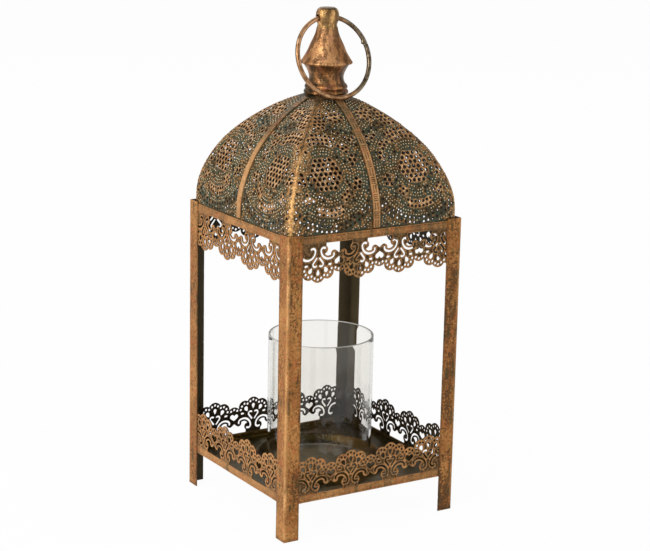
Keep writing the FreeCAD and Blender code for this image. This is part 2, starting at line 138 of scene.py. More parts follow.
def smooth_through(points, count):
    """Natural cubic spline through points, by chord length, as evenly spaced points."""
    points = np.asarray(points, float)
    knots = lengths_along(points)
    step = np.diff(knots)
    inner = np.arange(1, len(knots) - 1)
    bands = np.eye(len(knots))
    bands[inner, inner - 1] = step[:-1]
    bands[inner, inner] = 2 * (step[:-1] + step[1:])
    bands[inner, inner + 1] = step[1:]
    slope = np.diff(points, axis=0) / step[:, None]
    turn = np.zeros_like(points)
    turn[inner] = 6 * np.diff(slope, axis=0)
    turn = np.linalg.solve(bands, turn)
    at = np.linspace(0, knots[-1], count)
    part = np.clip(np.searchsorted(knots, at) - 1, 0, len(step) - 1)
    ahead = ((at - knots[part]) / step[part])[:, None]
    behind = 1 - ahead
    width = (step[part] ** 2 / 6)[:, None]
    return (behind * points[part] + ahead * points[part + 1]
            + width * ((behind ** 3 - behind) * turn[part] + (ahead ** 3 - ahead) * turn[part + 1]))


def rounded(corners, radii, steps):
    """Closed outline with each corner replaced by an arc that touches both its sides."""
    corners = np.asarray(corners, float)
    arcs = []
    for here, before, after, radius in zip(corners, np.roll(corners, 1, 0), np.roll(corners, -1, 0), radii):
        back = (before - here) / np.linalg.norm(before - here)
        ahead = (after - here) / np.linalg.norm(after - here)
        half_angle = math.acos(float(np.clip(back @ ahead, -1, 1))) / 2
        middle = (back + ahead) / np.linalg.norm(back + ahead)
        centre = here + middle * radius / math.sin(half_angle)
        first = here + back * radius / math.tan(half_angle) - centre
        last = here + ahead * radius / math.tan(half_angle) - centre
        start = math.atan2(first[1], first[0])
        sweep = (math.atan2(last[1], last[0]) - start + math.pi) % (2 * math.pi) - math.pi
        arcs.append(on_circle(centre, radius, start + sweep * np.linspace(0, 1, steps)))
    return np.concatenate(arcs)


def filled(outline, spacing):
    """Closed outline with points added along its long sides."""
    parts = []
    for start, end in zip(outline, np.roll(outline, -1, 0)):
        count = max(1, int(np.linalg.norm(end - start) / spacing))
        share = np.arange(count)[:, None] / count
        parts.append(start + (end - start) * share)
    return np.concatenate(parts)


def turned(points, quarter):
    """Points turned about the upright axis by a number of quarter turns."""
    angle = quarter * math.pi / 2
    cosine, sine = math.cos(angle), math.sin(angle)
    x, y, z = np.moveaxis(points, -1, 0)
    return joined(x * cosine - y * sine, x * sine + y * cosine, z)


# Meshes

def tube_faces(rows, columns):
    """Four-cornered faces of a grid of points, closed round its columns."""
    index = np.arange(rows * columns).reshape(rows, columns)
    index = np.concatenate((index, index[:, :1]), axis=1)
    return np.stack((index[:-1, :-1], index[:-1, 1:], index[1:, 1:], index[1:, :-1]), -1).reshape(-1, 4)


def bar_faces(rows, columns):
    """Faces of a closed bar: a tube with a cap on each end."""
    ring = np.arange(columns)[None]
    return [tube_faces(rows, columns), ring[:, ::-1], ring + (rows - 1) * columns]


def hoop_faces(rows, columns):
    """Faces of a closed hoop: a tube whose last row joins its first."""
    return [tube_faces(rows + 1, columns) % (rows * columns)]


def volume(points, faces):
    """Signed volume inside closed faces: the sum of each fan triangle's box product over six."""
    total = 0.0
    for group in faces:
        for corner in range(1, group.shape[1] - 1):
            first, second, third = (points[group[:, at]] for at in (0, corner, corner + 1))
            total += float(np.einsum("ij,ij->i", first, np.cross(second, third)).sum())
    return total / 6


def add_object(name, content):
    """Puts a mesh, a lamp or a camera into the scene."""
    holder = bpy.data.objects.new(name, content)
    bpy.context.scene.collection.objects.link(holder)
    return holder


def make_piece(name, points, faces, finish, nodes=(), body="lantern", marks=None, sharp=38.0):
    """Closed mesh from points in millimetres, its faces turned outwards. Marks are numbers of
    its points by name, and edges sharper than so many degrees stay sharp."""
    points = np.asarray(points, float)
    shape = points.shape[:-1]
    points = points.reshape(-1, 3)
    if volume(points, faces) < 0:
        faces = [group[:, ::-1] for group in faces]
    mesh = bpy.data.meshes.new(name)
    mesh.vertices.add(len(points))
    mesh.vertices.foreach_set("co", (points * MM).astype(np.float32).ravel())
    corners = np.concatenate([group.ravel() for group in faces]).astype(np.int32)
    sizes = np.concatenate([np.full(len(group), group.shape[1]) for group in faces])
    mesh.loops.add(len(corners))
    mesh.loops.foreach_set("vertex_index", corners)
    mesh.polygons.add(len(sizes))
    mesh.polygons.foreach_set("loop_start", (np.cumsum(sizes) - sizes).astype(np.int32))
    mesh.update(calc_edges=True)
    for mark, values in (marks or {}).items():
        layer = mesh.attributes.new(mark, "FLOAT", "POINT")
        layer.data.foreach_set("value", np.broadcast_to(values, shape).astype(np.float32).ravel())
    mesh.shade_smooth()
    mesh.set_sharp_from_angle(angle=math.radians(sharp))
    mesh.materials.append(finish)
    piece = add_object(name, mesh)
    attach(piece, body)
    if nodes:
        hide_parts(*nodes)


def inset(loop, distance):
    """Closed loop moved to its left, each point along the mean of its two sides' normals.
    The distance is one number, or a column with one for each point."""
    ahead = np.roll(loop, -1, 0) - loop
    normal = joined(-ahead[:, 1], ahead[:, 0])
    normal /= np.linalg.norm(normal, axis=1, keepdims=True)
    before = np.roll(normal, 1, 0)
    stretch = np.maximum(1 + (normal * before).sum(1, keepdims=True), 0.5)
    return loop + (normal + before) / stretch * distance


def room_between(loops):
    """How far each loop's points are from the sheet's other side: the nearest point of another
    loop, or of the same one where the way round to it is half as long again as straight."""
    points = np.concatenate(loops)
    owner = np.repeat(np.arange(len(loops)), [len(loop) for loop in loops])
    steps = [np.linalg.norm(np.roll(loop, -1, 0) - loop, axis=1) for loop in loops]
    along = np.concatenate([np.cumsum(step) for step in steps])
    round_trip = np.concatenate([np.full(len(step), step.sum()) for step in steps])
    gaps = np.empty(len(points))
    for start in range(0, len(points), BATCH):
        part = slice(start, start + BATCH)
        apart = np.hypot(points[part, None, 0] - points[:, 0], points[part, None, 1] - points[:, 1])
        way = np.abs(along[part, None] - along)
        way = np.minimum(way, round_trip - way)
        apart[(owner[part, None] == owner) & (way < 1.5 * apart + 1e-6)] = np.inf
        gaps[part] = apart.min(1)
    return np.split(gaps, np.cumsum([len(loop) for loop in loops])[:-1])


def between(loops, extra):
    """Triangles inside the first loop and outside the others, through the extra points."""
    points = np.concatenate(loops + [extra])
    starts = np.cumsum([0] + [len(loop) for loop in loops])
    faces = [list(range(start, end)) for start, end in zip(starts[:-1], starts[1:])]
    faces[1:] = [face[::-1] for face in faces[1:]]
    found = geometry.delaunay_2d_cdt([Vector(point) for point in points], [], faces, 1, 1e-7, True)
    origin = [names[0] for names in found[3]]
    kept = [[origin[corner] for corner in face]
            for face, inside in zip(found[2], found[5]) if inside == [0] and len(face) == 3]
    return np.array(kept)


def inside_of(points, loops):
    """True for points inside the first loop and outside the others, by counting crossings."""
    crossings = np.zeros(len(points), int)
    for loop in loops:
        after = np.roll(loop, -1, 0)
        run, climb = (after - loop).T
        slope = run / np.where(climb == 0, 1, climb)
        for start in range(0, len(points), BATCH):
            part = slice(start, start + BATCH)
            x, y = points[part, 0, None], points[part, 1, None]
            spans = (loop[:, 1] > y) != (after[:, 1] > y)
            crossings[part] += (spans & (x < loop[:, 0] + slope * (y - loop[:, 1]))).sum(1)
    return crossings % 2 == 1


def distance_to(points, others):
    """Distance from each point to the nearest of the others."""
    nearest = np.empty(len(points))
    for start in range(0, len(points), BATCH):
        part = slice(start, start + BATCH)
        apart = np.hypot(points[part, None, 0] - others[:, 0], points[part, None, 1] - others[:, 1])
        nearest[part] = apart.min(1)
    return nearest


def cut_sheet(rims, shoulders, extra=np.zeros((0, 2)), dots=np.zeros((0, 8, 2))):
    """A sheet's flat pattern: its rims, its shoulders with the feet of its dots and the extra
    points, the feet, and the triangles between."""
    loops = shoulders + list(dots)
    return rims, np.concatenate(loops + [extra]), dots, between(loops, extra)


def pierced_sheet(name, sheet, rim_lift, thickness, place, finish, nodes, marks):
    """Closed sheet with holes and raised dots. Between the shoulders it is smooth, a bevel runs
    from each shoulder to its rim, a wall goes down the rim, and the back repeats the front. A dot
    rises from its foot through a smaller ring to its top, with a dimple behind it. Marks are
    named numbers of the flat points, the rims, the dots' rings and their tops."""
    rims, flat, dots, triangles = sheet
    ring_width, ring_rise, dimple_rise = 0.58, 0.75, 0.6
    edge = np.concatenate(rims)
    lift = np.concatenate([np.full(len(rim), height) for rim, height in zip(rims, rim_lift)])
    level = np.zeros(len(flat))
    tops = dots.mean(1)
    rings = (tops[:, None] + (dots - tops[:, None]) * ring_width).reshape(-1, 2)
    one = np.ones(len(edge))
    parts = [(flat, level), (edge, lift), (edge, -thickness * one), (flat, level - thickness),
             (rings, np.full(len(rings), DOT_RISE * ring_rise)), (tops, np.full(len(tops), DOT_RISE)),
             (tops, np.full(len(tops), DOT_RISE * dimple_rise - thickness))]
    counts = [len(spots) for spots, _ in parts]
    rim_front, rim_back, flat_back, ring_front, top_front, top_back, _ = np.cumsum(counts)
    ends = np.cumsum([len(rim) for rim in rims])
    here = np.arange(len(edge))
    ahead = here + 1
    ahead[ends - 1] = np.append(0, ends[:-1])
    foot = np.arange(dots.shape[0] * dots.shape[1]).reshape(dots.shape[:2])
    next_foot = np.roll(foot, -1, 1).ravel()
    owner = np.repeat(np.arange(len(tops)), dots.shape[1])
    foot = foot.ravel()
    quads = np.concatenate((
        np.stack((rim_front + here, rim_front + ahead, ahead, here), 1),
        np.stack((rim_front + here, rim_back + here, rim_back + ahead, rim_front + ahead), 1),
        np.stack((rim_back + here, flat_back + here, flat_back + ahead, rim_back + ahead), 1),
        np.stack((ring_front + foot, ring_front + next_foot, len(edge) + next_foot, len(edge) + foot), 1),
    ))
    caps = np.concatenate((
        triangles, triangles[:, ::-1] + flat_back,
        np.stack((ring_front + next_foot, ring_front + foot, top_front + owner), 1),
        np.stack((flat_back + len(edge) + foot, flat_back + len(edge) + next_foot, top_back + owner), 1),
    ))
    named = {
        "rim": (level, one, one, level, 0, 0, 0),
        "inner": (level, 0, 1, level + 1, 0, 0, 1),
        "dot": (level, 0, 0, level, 0.8, 1, 0),
    }
    for mark, (on_flat, on_edge, on_ring, on_top) in marks.items():
        named[mark] = (on_flat, on_edge, on_edge, on_flat, on_ring, on_top, on_top)
    named = {mark: np.concatenate([np.broadcast_to(value, count) for value, count in zip(values, counts)])
             for mark, values in named.items()}
    points = np.concatenate([place(*part) for part in parts])
    make_piece(name, points, [caps, quads], finish, nodes, marks=named)


# Materials

class Value:
    """A node's output. Arithmetic on it adds Math nodes to its tree."""

    def __init__(self, tree, socket):
        self.tree = tree
        self.socket = socket

    def __add__(self, other):
        return math_node(self.tree, "ADD", self, other)

    def __sub__(self, other):
        return math_node(self.tree, "SUBTRACT", self, other)

    def __rsub__(self, other):
        return math_node(self.tree, "SUBTRACT", other, self)

    def __mul__(self, other):
        return math_node(self.tree, "MULTIPLY", self, other)

    __radd__ = __add__
    __rmul__ = __mul__


def feed(tree, socket, value):
    """Links a node's output to a socket, or sets the socket to a constant."""
    if isinstance(value, Value):
        tree.links.new(value.socket, socket)
    else:
        socket.default_value = value


def math_node(tree, operation, *values):
    """Adds a Math node for one operation."""
    node = tree.nodes.new("ShaderNodeMath")
    node.operation = operation
    for socket, value in zip(node.inputs, values):
        feed(tree, socket, value)
    return Value(tree, node.outputs[0])


def tint(red, green, blue):
    """Colour as the shader takes it, from shares of 255 on a screen."""
    def linear(share):
        share /= 255
        return share / 12.92 if share <= 0.04045 else ((share + 0.055) / 1.055) ** 2.4
    return (linear(red), linear(green), linear(blue), 1.0)


def tall(share):
    """Stretch of a pattern that is longer upright: its height counts for a share."""
    return (1.0, 1.0, share)


WHITE = (1, 1, 1, 1)
EVEN = (1.0, 1.0, 1.0)


class Nodes:
    """The nodes of a material or a world while it is built."""

    def __init__(self, owner):
        owner.use_nodes = True
        self.tree = owner.node_tree
        self.tree.nodes.clear()

    def node(self, kind, settings=None, inputs=None, output=0):
        """Adds a node: its settings first, then values or links of its sockets."""
        node = self.tree.nodes.new("ShaderNode" + kind)
        for key, value in (settings or {}).items():
            setattr(node, key, value)
        for key, value in (inputs or {}).items():
            feed(self.tree, node.inputs[key], value)
        return Value(self.tree, node.outputs[output]) if node.outputs else None


class Finish(Nodes):
    """A material while it is built. Sizes are in millimetres."""

    def __init__(self, name):
        self.material = bpy.data.materials.new(name)
        super().__init__(self.material)

    def place(self, stretch=EVEN):
        """Object coordinates, each times its own number; below 1 it makes a pattern longer."""
        spot = self.node("TexCoord", output="Object")
        return self.node("Mapping", inputs={"Vector": spot, "Scale": stretch})

    def along(self, axis):
        """Object coordinate along one axis, in metres."""
        return self.node("SeparateXYZ", inputs={0: self.place()}, output=axis)

    def noise(self, size, detail=4.0, stretch=EVEN, rough=0.55):
        """Noise from 0 to 1 whose lumps are about the given size."""
        return self.node("TexNoise", inputs={
            "Vector": self.place(stretch), "Scale": 1 / (size * MM), "Detail": detail, "Roughness": rough})

    def mark(self, name):
        """A number that the mesh's points carry."""
        return self.node("Attribute", {"attribute_name": name}, output="Fac")

    def step(self, value, low, high):
        """Eases from 0 at low to 1 at high."""
        return self.node("MapRange", {"interpolation_type": "SMOOTHSTEP"}, {
            "Value": value, "From Min": low, "From Max": high})

    def mix(self, share, first, second):
        """Goes from the first colour to the second as the share goes from 0 to 1."""
        return self.node("Mix", {"data_type": "RGBA", "clamp_factor": True},
                         {0: share, 6: first, 7: second}, 2)

    def patched(self, ground, other, size, low, high, share=1.0, **kind):
        """Patches of another colour on a ground, where noise of a size goes from low to high."""
        return self.mix(self.step(self.noise(size, **kind), low, high) * share, ground, other)

    def bump(self, height, distance, strength):
        """Normal of a surface with this relief."""
        return self.node("Bump", inputs={"Height": height, "Distance": distance * MM, "Strength": strength})

    def show(self, shader):
        """Ends the material with a shader."""
        self.node("OutputMaterial", inputs={"Surface": shader})
        return self.material

    def surface(self, **inputs):
        """Ends the material with a Principled surface; a socket's name has _ for its spaces."""
        named = {key.replace("_", " "): value for key, value in inputs.items()}
        return self.show(self.node("BsdfPrincipled", inputs=named))


def copper_coat(name, light, deep, dark, blotch, inside=None):
    """Antique copper coat: two coppers in soft patches, a fine brown mottle, bright, red and olive
    patches, and upright dark and olive stains that are denser where the mesh's dark mark is
    higher; that mark is partly dirt and partly painted shade. The marked middles of broad places
    are dark brown, on a strap's top as painted shade, and places marked bright are brighter,
    partly wear and partly a painted highlight. Cut rims are dark, with painted shade in a strap's
    pressed grooves, and an inside of its own colour shows where the mesh marks it."""
    finish = Finish(name)
    # the dark mark read here is partly dirt and partly painted shade, as each piece sets it
    grime_and_shade = finish.mark("grime_and_shade")
    colour = finish.mix(finish.step(finish.noise(20.0) + grime_and_shade * 0.20, 0.42, 0.68), light, deep)
    speck = finish.noise(1.35, rough=0.68)
    mottle = finish.step(speck + grime_and_shade * 0.05, 0.50, 0.60)
    colour = finish.mix(mottle * 0.62, colour, tint(112, 70, 32))
    colour = finish.patched(colour, tint(228, 166, 98), 2.2, 0.52, 0.66, 0.5, detail=3.0)
    colour = finish.patched(colour, tint(192, 108, 62), 6.0, 0.54, 0.64, 0.45)
    colour = finish.patched(colour, tint(146, 122, 66), 4.0, 0.56, 0.66, 0.45)
    stain = finish.noise(8.0, stretch=tall(0.22))
    spots = finish.step(speck + stain * 0.8 + grime_and_shade * 0.16, 1.02, 1.14)
    colour = finish.mix(spots * blotch, colour, dark)
    olive = finish.step(finish.noise(5.0, stretch=tall(0.3)) + grime_and_shade * 0.08, 0.61, 0.69)
    colour = finish.mix(olive * 0.7, colour, tint(74, 64, 38))
    # dark middles; on a strap's top this is painted shade
    middle = finish.step(finish.mark("middle") + speck * 0.7, 0.66, 0.90)
    colour = finish.mix(middle * 0.9, colour, tint(58, 44, 22))
    # partly wear, partly a painted highlight
    wear_and_highlight = finish.mark("wear_and_highlight")
    colour = finish.mix(wear_and_highlight * finish.step(speck, 0.35, 0.6), colour, tint(236, 180, 120))
    # dark cut rims; on a strap the same mark darkens its pressed grooves as painted shade
    colour = finish.mix(finish.mark("rim") * 0.6, colour, tint(58, 44, 28))
    metal = 0.62 - 0.25 * spots
    rough = 0.36 + 0.28 * speck
    if inside is not None:
        inner = finish.mark("inner")
        colour = finish.mix(finish.step(inner, 0.3, 0.8), colour, inside)
        metal = metal * (1 - 0.8 * inner)
        rough = rough + 0.10 * inner
    height = speck * 0.7 + finish.noise(0.9, 5.0, rough=0.7) * 0.3
    return finish.surface(Base_Color=colour, Metallic=metal, Roughness=rough, Specular_IOR_Level=0.25,
                          Normal=finish.bump(height, 0.32, 0.7))


def dome_patina():
    """Olive and brown patina with slate blue, brown and gold patches, the last two more often near
    the hips. The webs between the large holes are bare copper from wear, with brown flecks. The
    tops of the dots are pale tan, in some places more than in others: partly wear, partly a
    painted glint. The holes have dark rims, painted shade in the holes, the dome is darkened
    under the finial as painted shade, and it is dark inside."""
    finish = Finish("dome_patina")
    hip = finish.mark("hip")
    ground = finish.patched(tint(66, 71, 54), tint(70, 58, 34), 13.0, 0.42, 0.58)
    ground = finish.patched(ground, tint(56, 73, 68), 8.0, 0.54, 0.66, 0.6, detail=3.0)
    brown = finish.step(finish.noise(2.4, rough=0.62) + 0.12 * hip, 0.54, 0.63)
    ground = finish.mix(brown * 0.85, ground, tint(158, 110, 62))
    gold = finish.step(finish.noise(3.2, rough=0.62) + 0.10 * hip, 0.61, 0.69)
    ground = finish.mix(gold * 0.65, ground, tint(176, 134, 82))
    scuff_and_shade = finish.noise(2.6)
    copper = finish.patched(tint(250, 200, 146), tint(200, 146, 94), 5.0, 0.42, 0.60)
    copper = finish.patched(copper, tint(98, 72, 42), 1.6, 0.47, 0.59, 0.72)
    share = finish.step(finish.mark("copper") * (0.12 + 1.2 * scuff_and_shade), 0.44, 0.80)
    colour = finish.mix(share * 0.9, ground, copper)
    # painted shade: the rims and walls of the holes are darkened
    rim = finish.step(finish.mark("rim") + scuff_and_shade * 0.3, 0.18, 0.62)
    colour = finish.mix(rim * 0.88, colour, tint(54, 38, 22))
    # partly wear, partly a painted glint: the tops of the dots are pale tan
    wear_and_glint = finish.noise(4.5, rough=0.62)
    dot = finish.step(finish.mark("dot") * (0.25 + 1.4 * wear_and_glint), 0.45, 0.95)
    bead = finish.patched(tint(240, 222, 186), tint(216, 166, 106), 4.0, 0.42, 0.60, detail=3.0)
    colour = finish.mix(dot * 0.95, colour, bead)
    # painted shade: the dome is darkened under the finial
    colour = finish.mix(finish.mark("crown") * (0.3 + 0.7 * scuff_and_shade), colour, tint(52, 46, 34))
    inner = finish.mark("inner")
    colour = finish.mix(finish.step(inner, 0.3, 0.8), colour, tint(44, 30, 18))
    metal = (0.15 + 0.40 * share) * (1 - 0.7 * inner)
    rough = 0.48 - 0.10 * share + 0.12 * finish.noise(1.0)
    return finish.surface(Base_Color=colour, Metallic=metal, Roughness=rough, Specular_IOR_Level=0.2,
                          Normal=finish.bump(finish.noise(1.3, 5.0), 0.22, 0.6))


def hip_solder():
    """Golden solder run, browner higher up, with dark pits and bare dark sides."""
    finish = Finish("hip_solder")
    brown = finish.step(finish.along("Z") * 6.0 + finish.noise(5.0), 2.05, 2.45)
    colour = finish.mix(brown, tint(220, 168, 102), tint(156, 108, 64))
    pits = finish.noise(1.9, rough=0.68)
    colour = finish.mix(finish.step(pits, 0.50, 0.60) * 0.7, colour, tint(126, 84, 44))
    bare = finish.step(finish.mark("side") * 0.45 + pits + finish.noise(6.0, 3.0) * 0.4, 0.96, 1.08)
    colour = finish.mix(bare * 0.9, colour, tint(84, 72, 48))
    return finish.surface(Base_Color=colour, Metallic=0.4, Roughness=0.40 + 0.2 * pits,
                          Normal=finish.bump(pits, 0.4, 0.7))


def spun_copper(name, light, deep, dark, grime_and_shade, dull, run):
    """Spun copper: two coppers in patches, dark runs down the side, dark pits, rosy patches and
    lathe lines round the axis. The smaller run is, the longer are the runs. The knob's top,
    which is the highest place of all, is darkened as painted shade."""
    finish = Finish(name)
    colour = finish.patched(light, deep, 14.0, 0.40, 0.60, detail=3.0, stretch=tall(0.5))
    runs = finish.noise(4.5, stretch=tall(run))
    colour = finish.mix(finish.step(runs + grime_and_shade * 0.10, 0.52, 0.66) * 0.72, colour, dark)
    pits = finish.step(finish.noise(1.2, rough=0.65), 0.54, 0.63)
    colour = finish.mix(pits * (0.45 + 0.3 * grime_and_shade), colour, dark)
    rosy = tint(196, 128, 108)
    colour = finish.patched(colour, rosy, 8.0, 0.58, 0.68, 0.4, detail=3.0, stretch=tall(0.6))
    # painted shade: the knob's top is darkened, as if it saw less light from above
    top = finish.step(finish.along("Z"), (KNOB_Z + 13.4) * MM, (KNOB_Z + 15.0) * MM)
    colour = finish.mix(top * 0.75, colour, dark)
    lines = finish.noise(0.8, 2.0, (0.05, 0.05, 1.0))
    height = finish.noise(3.0) * 0.7 + lines * 0.3 - pits * 0.3
    rough = dull + 0.20 * finish.noise(4.0) + 0.2 * pits
    return finish.surface(Base_Color=colour, Metallic=0.88 - 0.3 * pits, Roughness=rough,
                          Normal=finish.bump(height, 0.5, 0.8))


def ring_wire():
    """Worn brass turning to dark pewter along +X, with small dark scratches."""
    finish = Finish("ring_wire")
    turn = finish.step(finish.along("X") + 0.012 * finish.noise(12.0, 3.0), 0.010, 0.028)
    brass = finish.patched(tint(206, 160, 118), tint(140, 102, 68), 7.0, 0.42, 0.62)
    pewter = finish.patched(tint(136, 120, 98), tint(88, 74, 54), 2.4, 0.44, 0.62)
    colour = finish.mix(turn, brass, pewter)
    colour = finish.patched(colour, tint(60, 48, 32), 1.2, 0.58, 0.76, 0.5, rough=0.7)
    return finish.surface(Base_Color=colour, Metallic=0.9, Roughness=0.20 + 0.18 * finish.noise(3.0),
                          Normal=finish.bump(finish.noise(1.5), 0.15, 0.5))


def tray_brown():
    """Dark brown lacquered pan with olive patches, a little brighter along the pressed ridge and the
    turned-up edge, partly wear and partly a painted highlight.
    """
    finish = Finish("tray_brown")
    colour = finish.patched(tint(84, 64, 26), tint(62, 54, 22), 30.0, 0.40, 0.60)
    colour = finish.patched(colour, tint(92, 62, 34), 5.0, 0.54, 0.70, 0.55, detail=5.0)
    # partly wear, partly a painted highlight along the ridge and the edge's top
    wear_and_highlight = finish.mark("wear_and_highlight") * finish.step(finish.noise(2.4), 0.45, 0.65)
    colour = finish.mix(wear_and_highlight * 0.55, colour, tint(120, 84, 50))
    return finish.surface(Base_Color=colour, Metallic=0.7, Roughness=0.26 + 0.22 * finish.noise(8.0),
                          Specular_IOR_Level=0.1, Normal=finish.bump(finish.noise(5.0), 0.25, 0.5))


def plated_steel():
    """Dull plated steel in two greys."""
    finish = Finish("plated_steel")
    colour = finish.patched(tint(120, 112, 98), tint(86, 78, 64), 4.0, 0.4, 0.65)
    return finish.surface(Base_Color=colour, Metallic=0.9, Roughness=0.3 + 0.2 * finish.noise(2.0),
                          Normal=finish.bump(finish.noise(1.5), 0.1, 0.4))


def clear_glass():
    """Drawn glass with a faint warm grey. Its fire-polished lips that the mesh marks are mixed with a milky
    grey, a painted rim line in place of what refraction shows there.
    """
    finish = Finish("clear_glass")
    clear = finish.node("BsdfPrincipled", inputs={
        "Base Color": tint(243, 242, 238), "Roughness": 0.0, "IOR": 1.38, "Transmission Weight": 1.0})
    milky = finish.node("BsdfPrincipled", inputs={"Base Color": tint(206, 203, 194), "Roughness": 0.25})
    # painted rim line: the lips mix in a milky grey in place of what refraction shows at the rim
    return finish.show(finish.node("MixShader", inputs={0: finish.mark("lip") * 0.8, 1: clear, 2: milky}))


POST = copper_coat(
    "post_copper", tint(198, 140, 80), tint(170, 112, 60), tint(84, 58, 28), 0.75, tint(82, 70, 46))
STRIP = copper_coat(
    "strip_copper", tint(196, 140, 84), tint(158, 106, 60), tint(76, 54, 26), 0.8, tint(54, 44, 27))
STRAP = copper_coat("strap_copper", tint(224, 176, 128), tint(176, 128, 86), tint(100, 94, 66), 0.8)
PATINA = dome_patina()
SOLDER = hip_solder()
SPUN = spun_copper(
    "spun_copper", tint(224, 168, 114), tint(182, 126, 78), tint(88, 58, 32), grime_and_shade=0.7, dull=0.40, run=0.12)
# The foot's darker tones, and its stronger dark runs and pits: partly dirt, partly painted shade and a
# painted dark reflection of the dome in the concave foot
FOOT_COPPER = spun_copper(
    "foot_copper", tint(206, 142, 88), tint(126, 84, 46), tint(54, 50, 32), grime_and_shade=1.1, dull=0.20, run=0.55)
KNOB = spun_copper(
    "knob_brass", tint(236, 184, 118), tint(156, 110, 62), tint(66, 48, 28), grime_and_shade=0.7, dull=0.24, run=0.12)
WIRE = ring_wire()
TRAY = tray_brown()
STEEL = plated_steel()
GLASS = clear_glass()


# Corner posts

POST_GRIME = (0.2, 0.9, 0.5, 0.15)
POST_ROUNDING = (0.95, 0.34, 0.34, 0.5, 0.34, 0.34)    # of the section, from its outer corner on


def make_post(number):
    """Rounded L section carried up the post. Each flange bows inwards by a slow drift, more
    towards its free edge, and the edge has a nick where a quick drift is over 0.9. The free
    edges and the foot are dark, the front flange is darker as painted shade, and the corner
    is brighter, partly wear and partly a painted highlight."""
    corner = -HALF
    tip, inside = corner + POST_FLANGE, corner + SHEET
    outline = rounded(
        [(corner, corner), (tip, corner), (tip, inside), (inside, inside), (inside, tip), (corner, tip)],
        POST_ROUNDING, 6)
    section = filled(outline, 1.6)
    place = joined(section[:, 0], section[:, 1], np.linspace(0, POST_HEIGHT, 150)[:, None])
    x, y, z = np.moveaxis(place, -1, 0)
    out = np.maximum(x, y) - corner
    nick = np.maximum(drift(place, 5.0, 60 + number) - 0.9, 0) * 0.30
    nick = nick * smoothstep(POST_FLANGE - 0.6, POST_FLANGE, out)
    bow = np.maximum(0.10 + 0.08 * drift(place, 46.0, 40 + number), 0) * smoothstep(1.0, POST_FLANGE, out)
    front = y < x
    points = joined(np.where(front, x - nick, x + bow), np.where(front, y + bow, y - nick), z)
    inner = section.min(1) > corner + SHEET * 0.6
    edge = (section.max(1) > tip - 0.35) & ~inner
    soiled = smoothstep(0.4, 3.6 + 1.2 * drift(place, 9.0, 54), z)
    foot = (0.75 + 0.25 * drift(place, 6.0, 50 + number)) * (1 - soiled)
    # partly wear, partly a painted highlight: a bright band along the rounded bend
    wear_and_highlight = np.exp(-((section.max(1) - corner - 0.6) / 0.8) ** 2)
    wear_and_highlight = wear_and_highlight * (0.75 - 0.35 * drift(place, 25.0, 80 + number)) * (z > 2.5)
    # painted shade: the front flange is marked 0.35 darker, as if it were turned from the light
    grime_and_shade = POST_GRIME[number] + 0.35 * drift(place, 60.0, 70 + number) + 0.35 * front
    name = "post_" + CORNERS[number]
    make_piece(name + "_bent", turned(points, number), bar_faces(*z.shape), POST, [name],
               marks={"inner": inner, "rim": np.maximum(edge * 0.6, foot), "wear_and_highlight": wear_and_highlight * ~inner,
                      "grime_and_shade": grime_and_shade})


for number in range(4):
    make_post(number)


# Pierced strips

STRIP_GRIME = (1.1, 0.9, 0.6, 0.45)
GALLERY_SHARE = 0.78              # of the friezes' grime on the galleries
LACE_STEP = 1.5                   # between the points inside the sheet
BEVEL = 0.16
RIM_DROP = 0.10


def outline_loops(node, quarter):
    """Edges of the strip's outer face, as closed loops of x and z with the sheet on their left."""
    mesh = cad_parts[node].data
    places = np.empty(len(mesh.vertices) * 3)
    mesh.vertices.foreach_get("co", places)
    places = turned(places.reshape(-1, 3) / MM, -quarter)
    corners = np.empty(len(mesh.polygons) * 3, int)
    mesh.polygons.foreach_get("vertices", corners)
    corners = corners.reshape(-1, 3)
    microns = np.round(places * 1000).astype(int)
    _, first, same = np.unique(microns, axis=0, return_index=True, return_inverse=True)
    same = same.ravel()
    outer = np.abs(places[:, 1] + STRIP_FACE) < 0.01
    faces = same[corners[outer[corners].all(1)]]
    ways = np.concatenate((faces[:, :2], faces[:, 1:], faces[:, [2, 0]]))
    size = len(first)
    once = ~np.isin(ways[:, 0] * size + ways[:, 1], ways[:, 1] * size + ways[:, 0])
    ahead = dict(ways[once].tolist())
    loops = []
    while ahead:
        start, at = ahead.popitem()
        loop = [start]
        while at != start:
            loop.append(at)
            at = ahead.pop(at)
        loops.append(places[first[loop]][:, [0, 2]])
    return sorted(loops, key=len, reverse=True)


def strip_sheet(kind, number):
    """Flat pattern of a strip, read from its solid's outer face, and how far from its edges
    each of its points is. Its bevel is narrower where the sheet is."""
    rims = [filled(rim, 4.0) for rim in outline_loops(kind + "_" + FACES[number], number)]
    spans = [np.ptp(rim[:, 0]) for rim in rims]
    rims.insert(0, rims.pop(int(np.argmax(spans))))
    shoulders = [inset(rim, np.minimum(BEVEL, 0.35 * room)[:, None])
                 for rim, room in zip(rims, room_between(rims))]
    low, high = rims[0].min(0), rims[0].max(0)
    across, up = np.meshgrid(
        np.arange(low[0], high[0], LACE_STEP), np.arange(low[1], high[1], LACE_STEP * 0.87))
    across = across + LACE_STEP / 2 * (np.arange(len(up))[:, None] % 2)
    inner = joined(across, up).reshape(-1, 2)
    edges = np.concatenate([filled(rim, 0.7) for rim in rims])
    inner = inner[distance_to(inner, edges) > LACE_STEP * 0.55]
    inner = inner[inside_of(inner, rims)]
    sheet = cut_sheet(rims, shoulders, inner)
    return sheet, distance_to(sheet[1], edges)


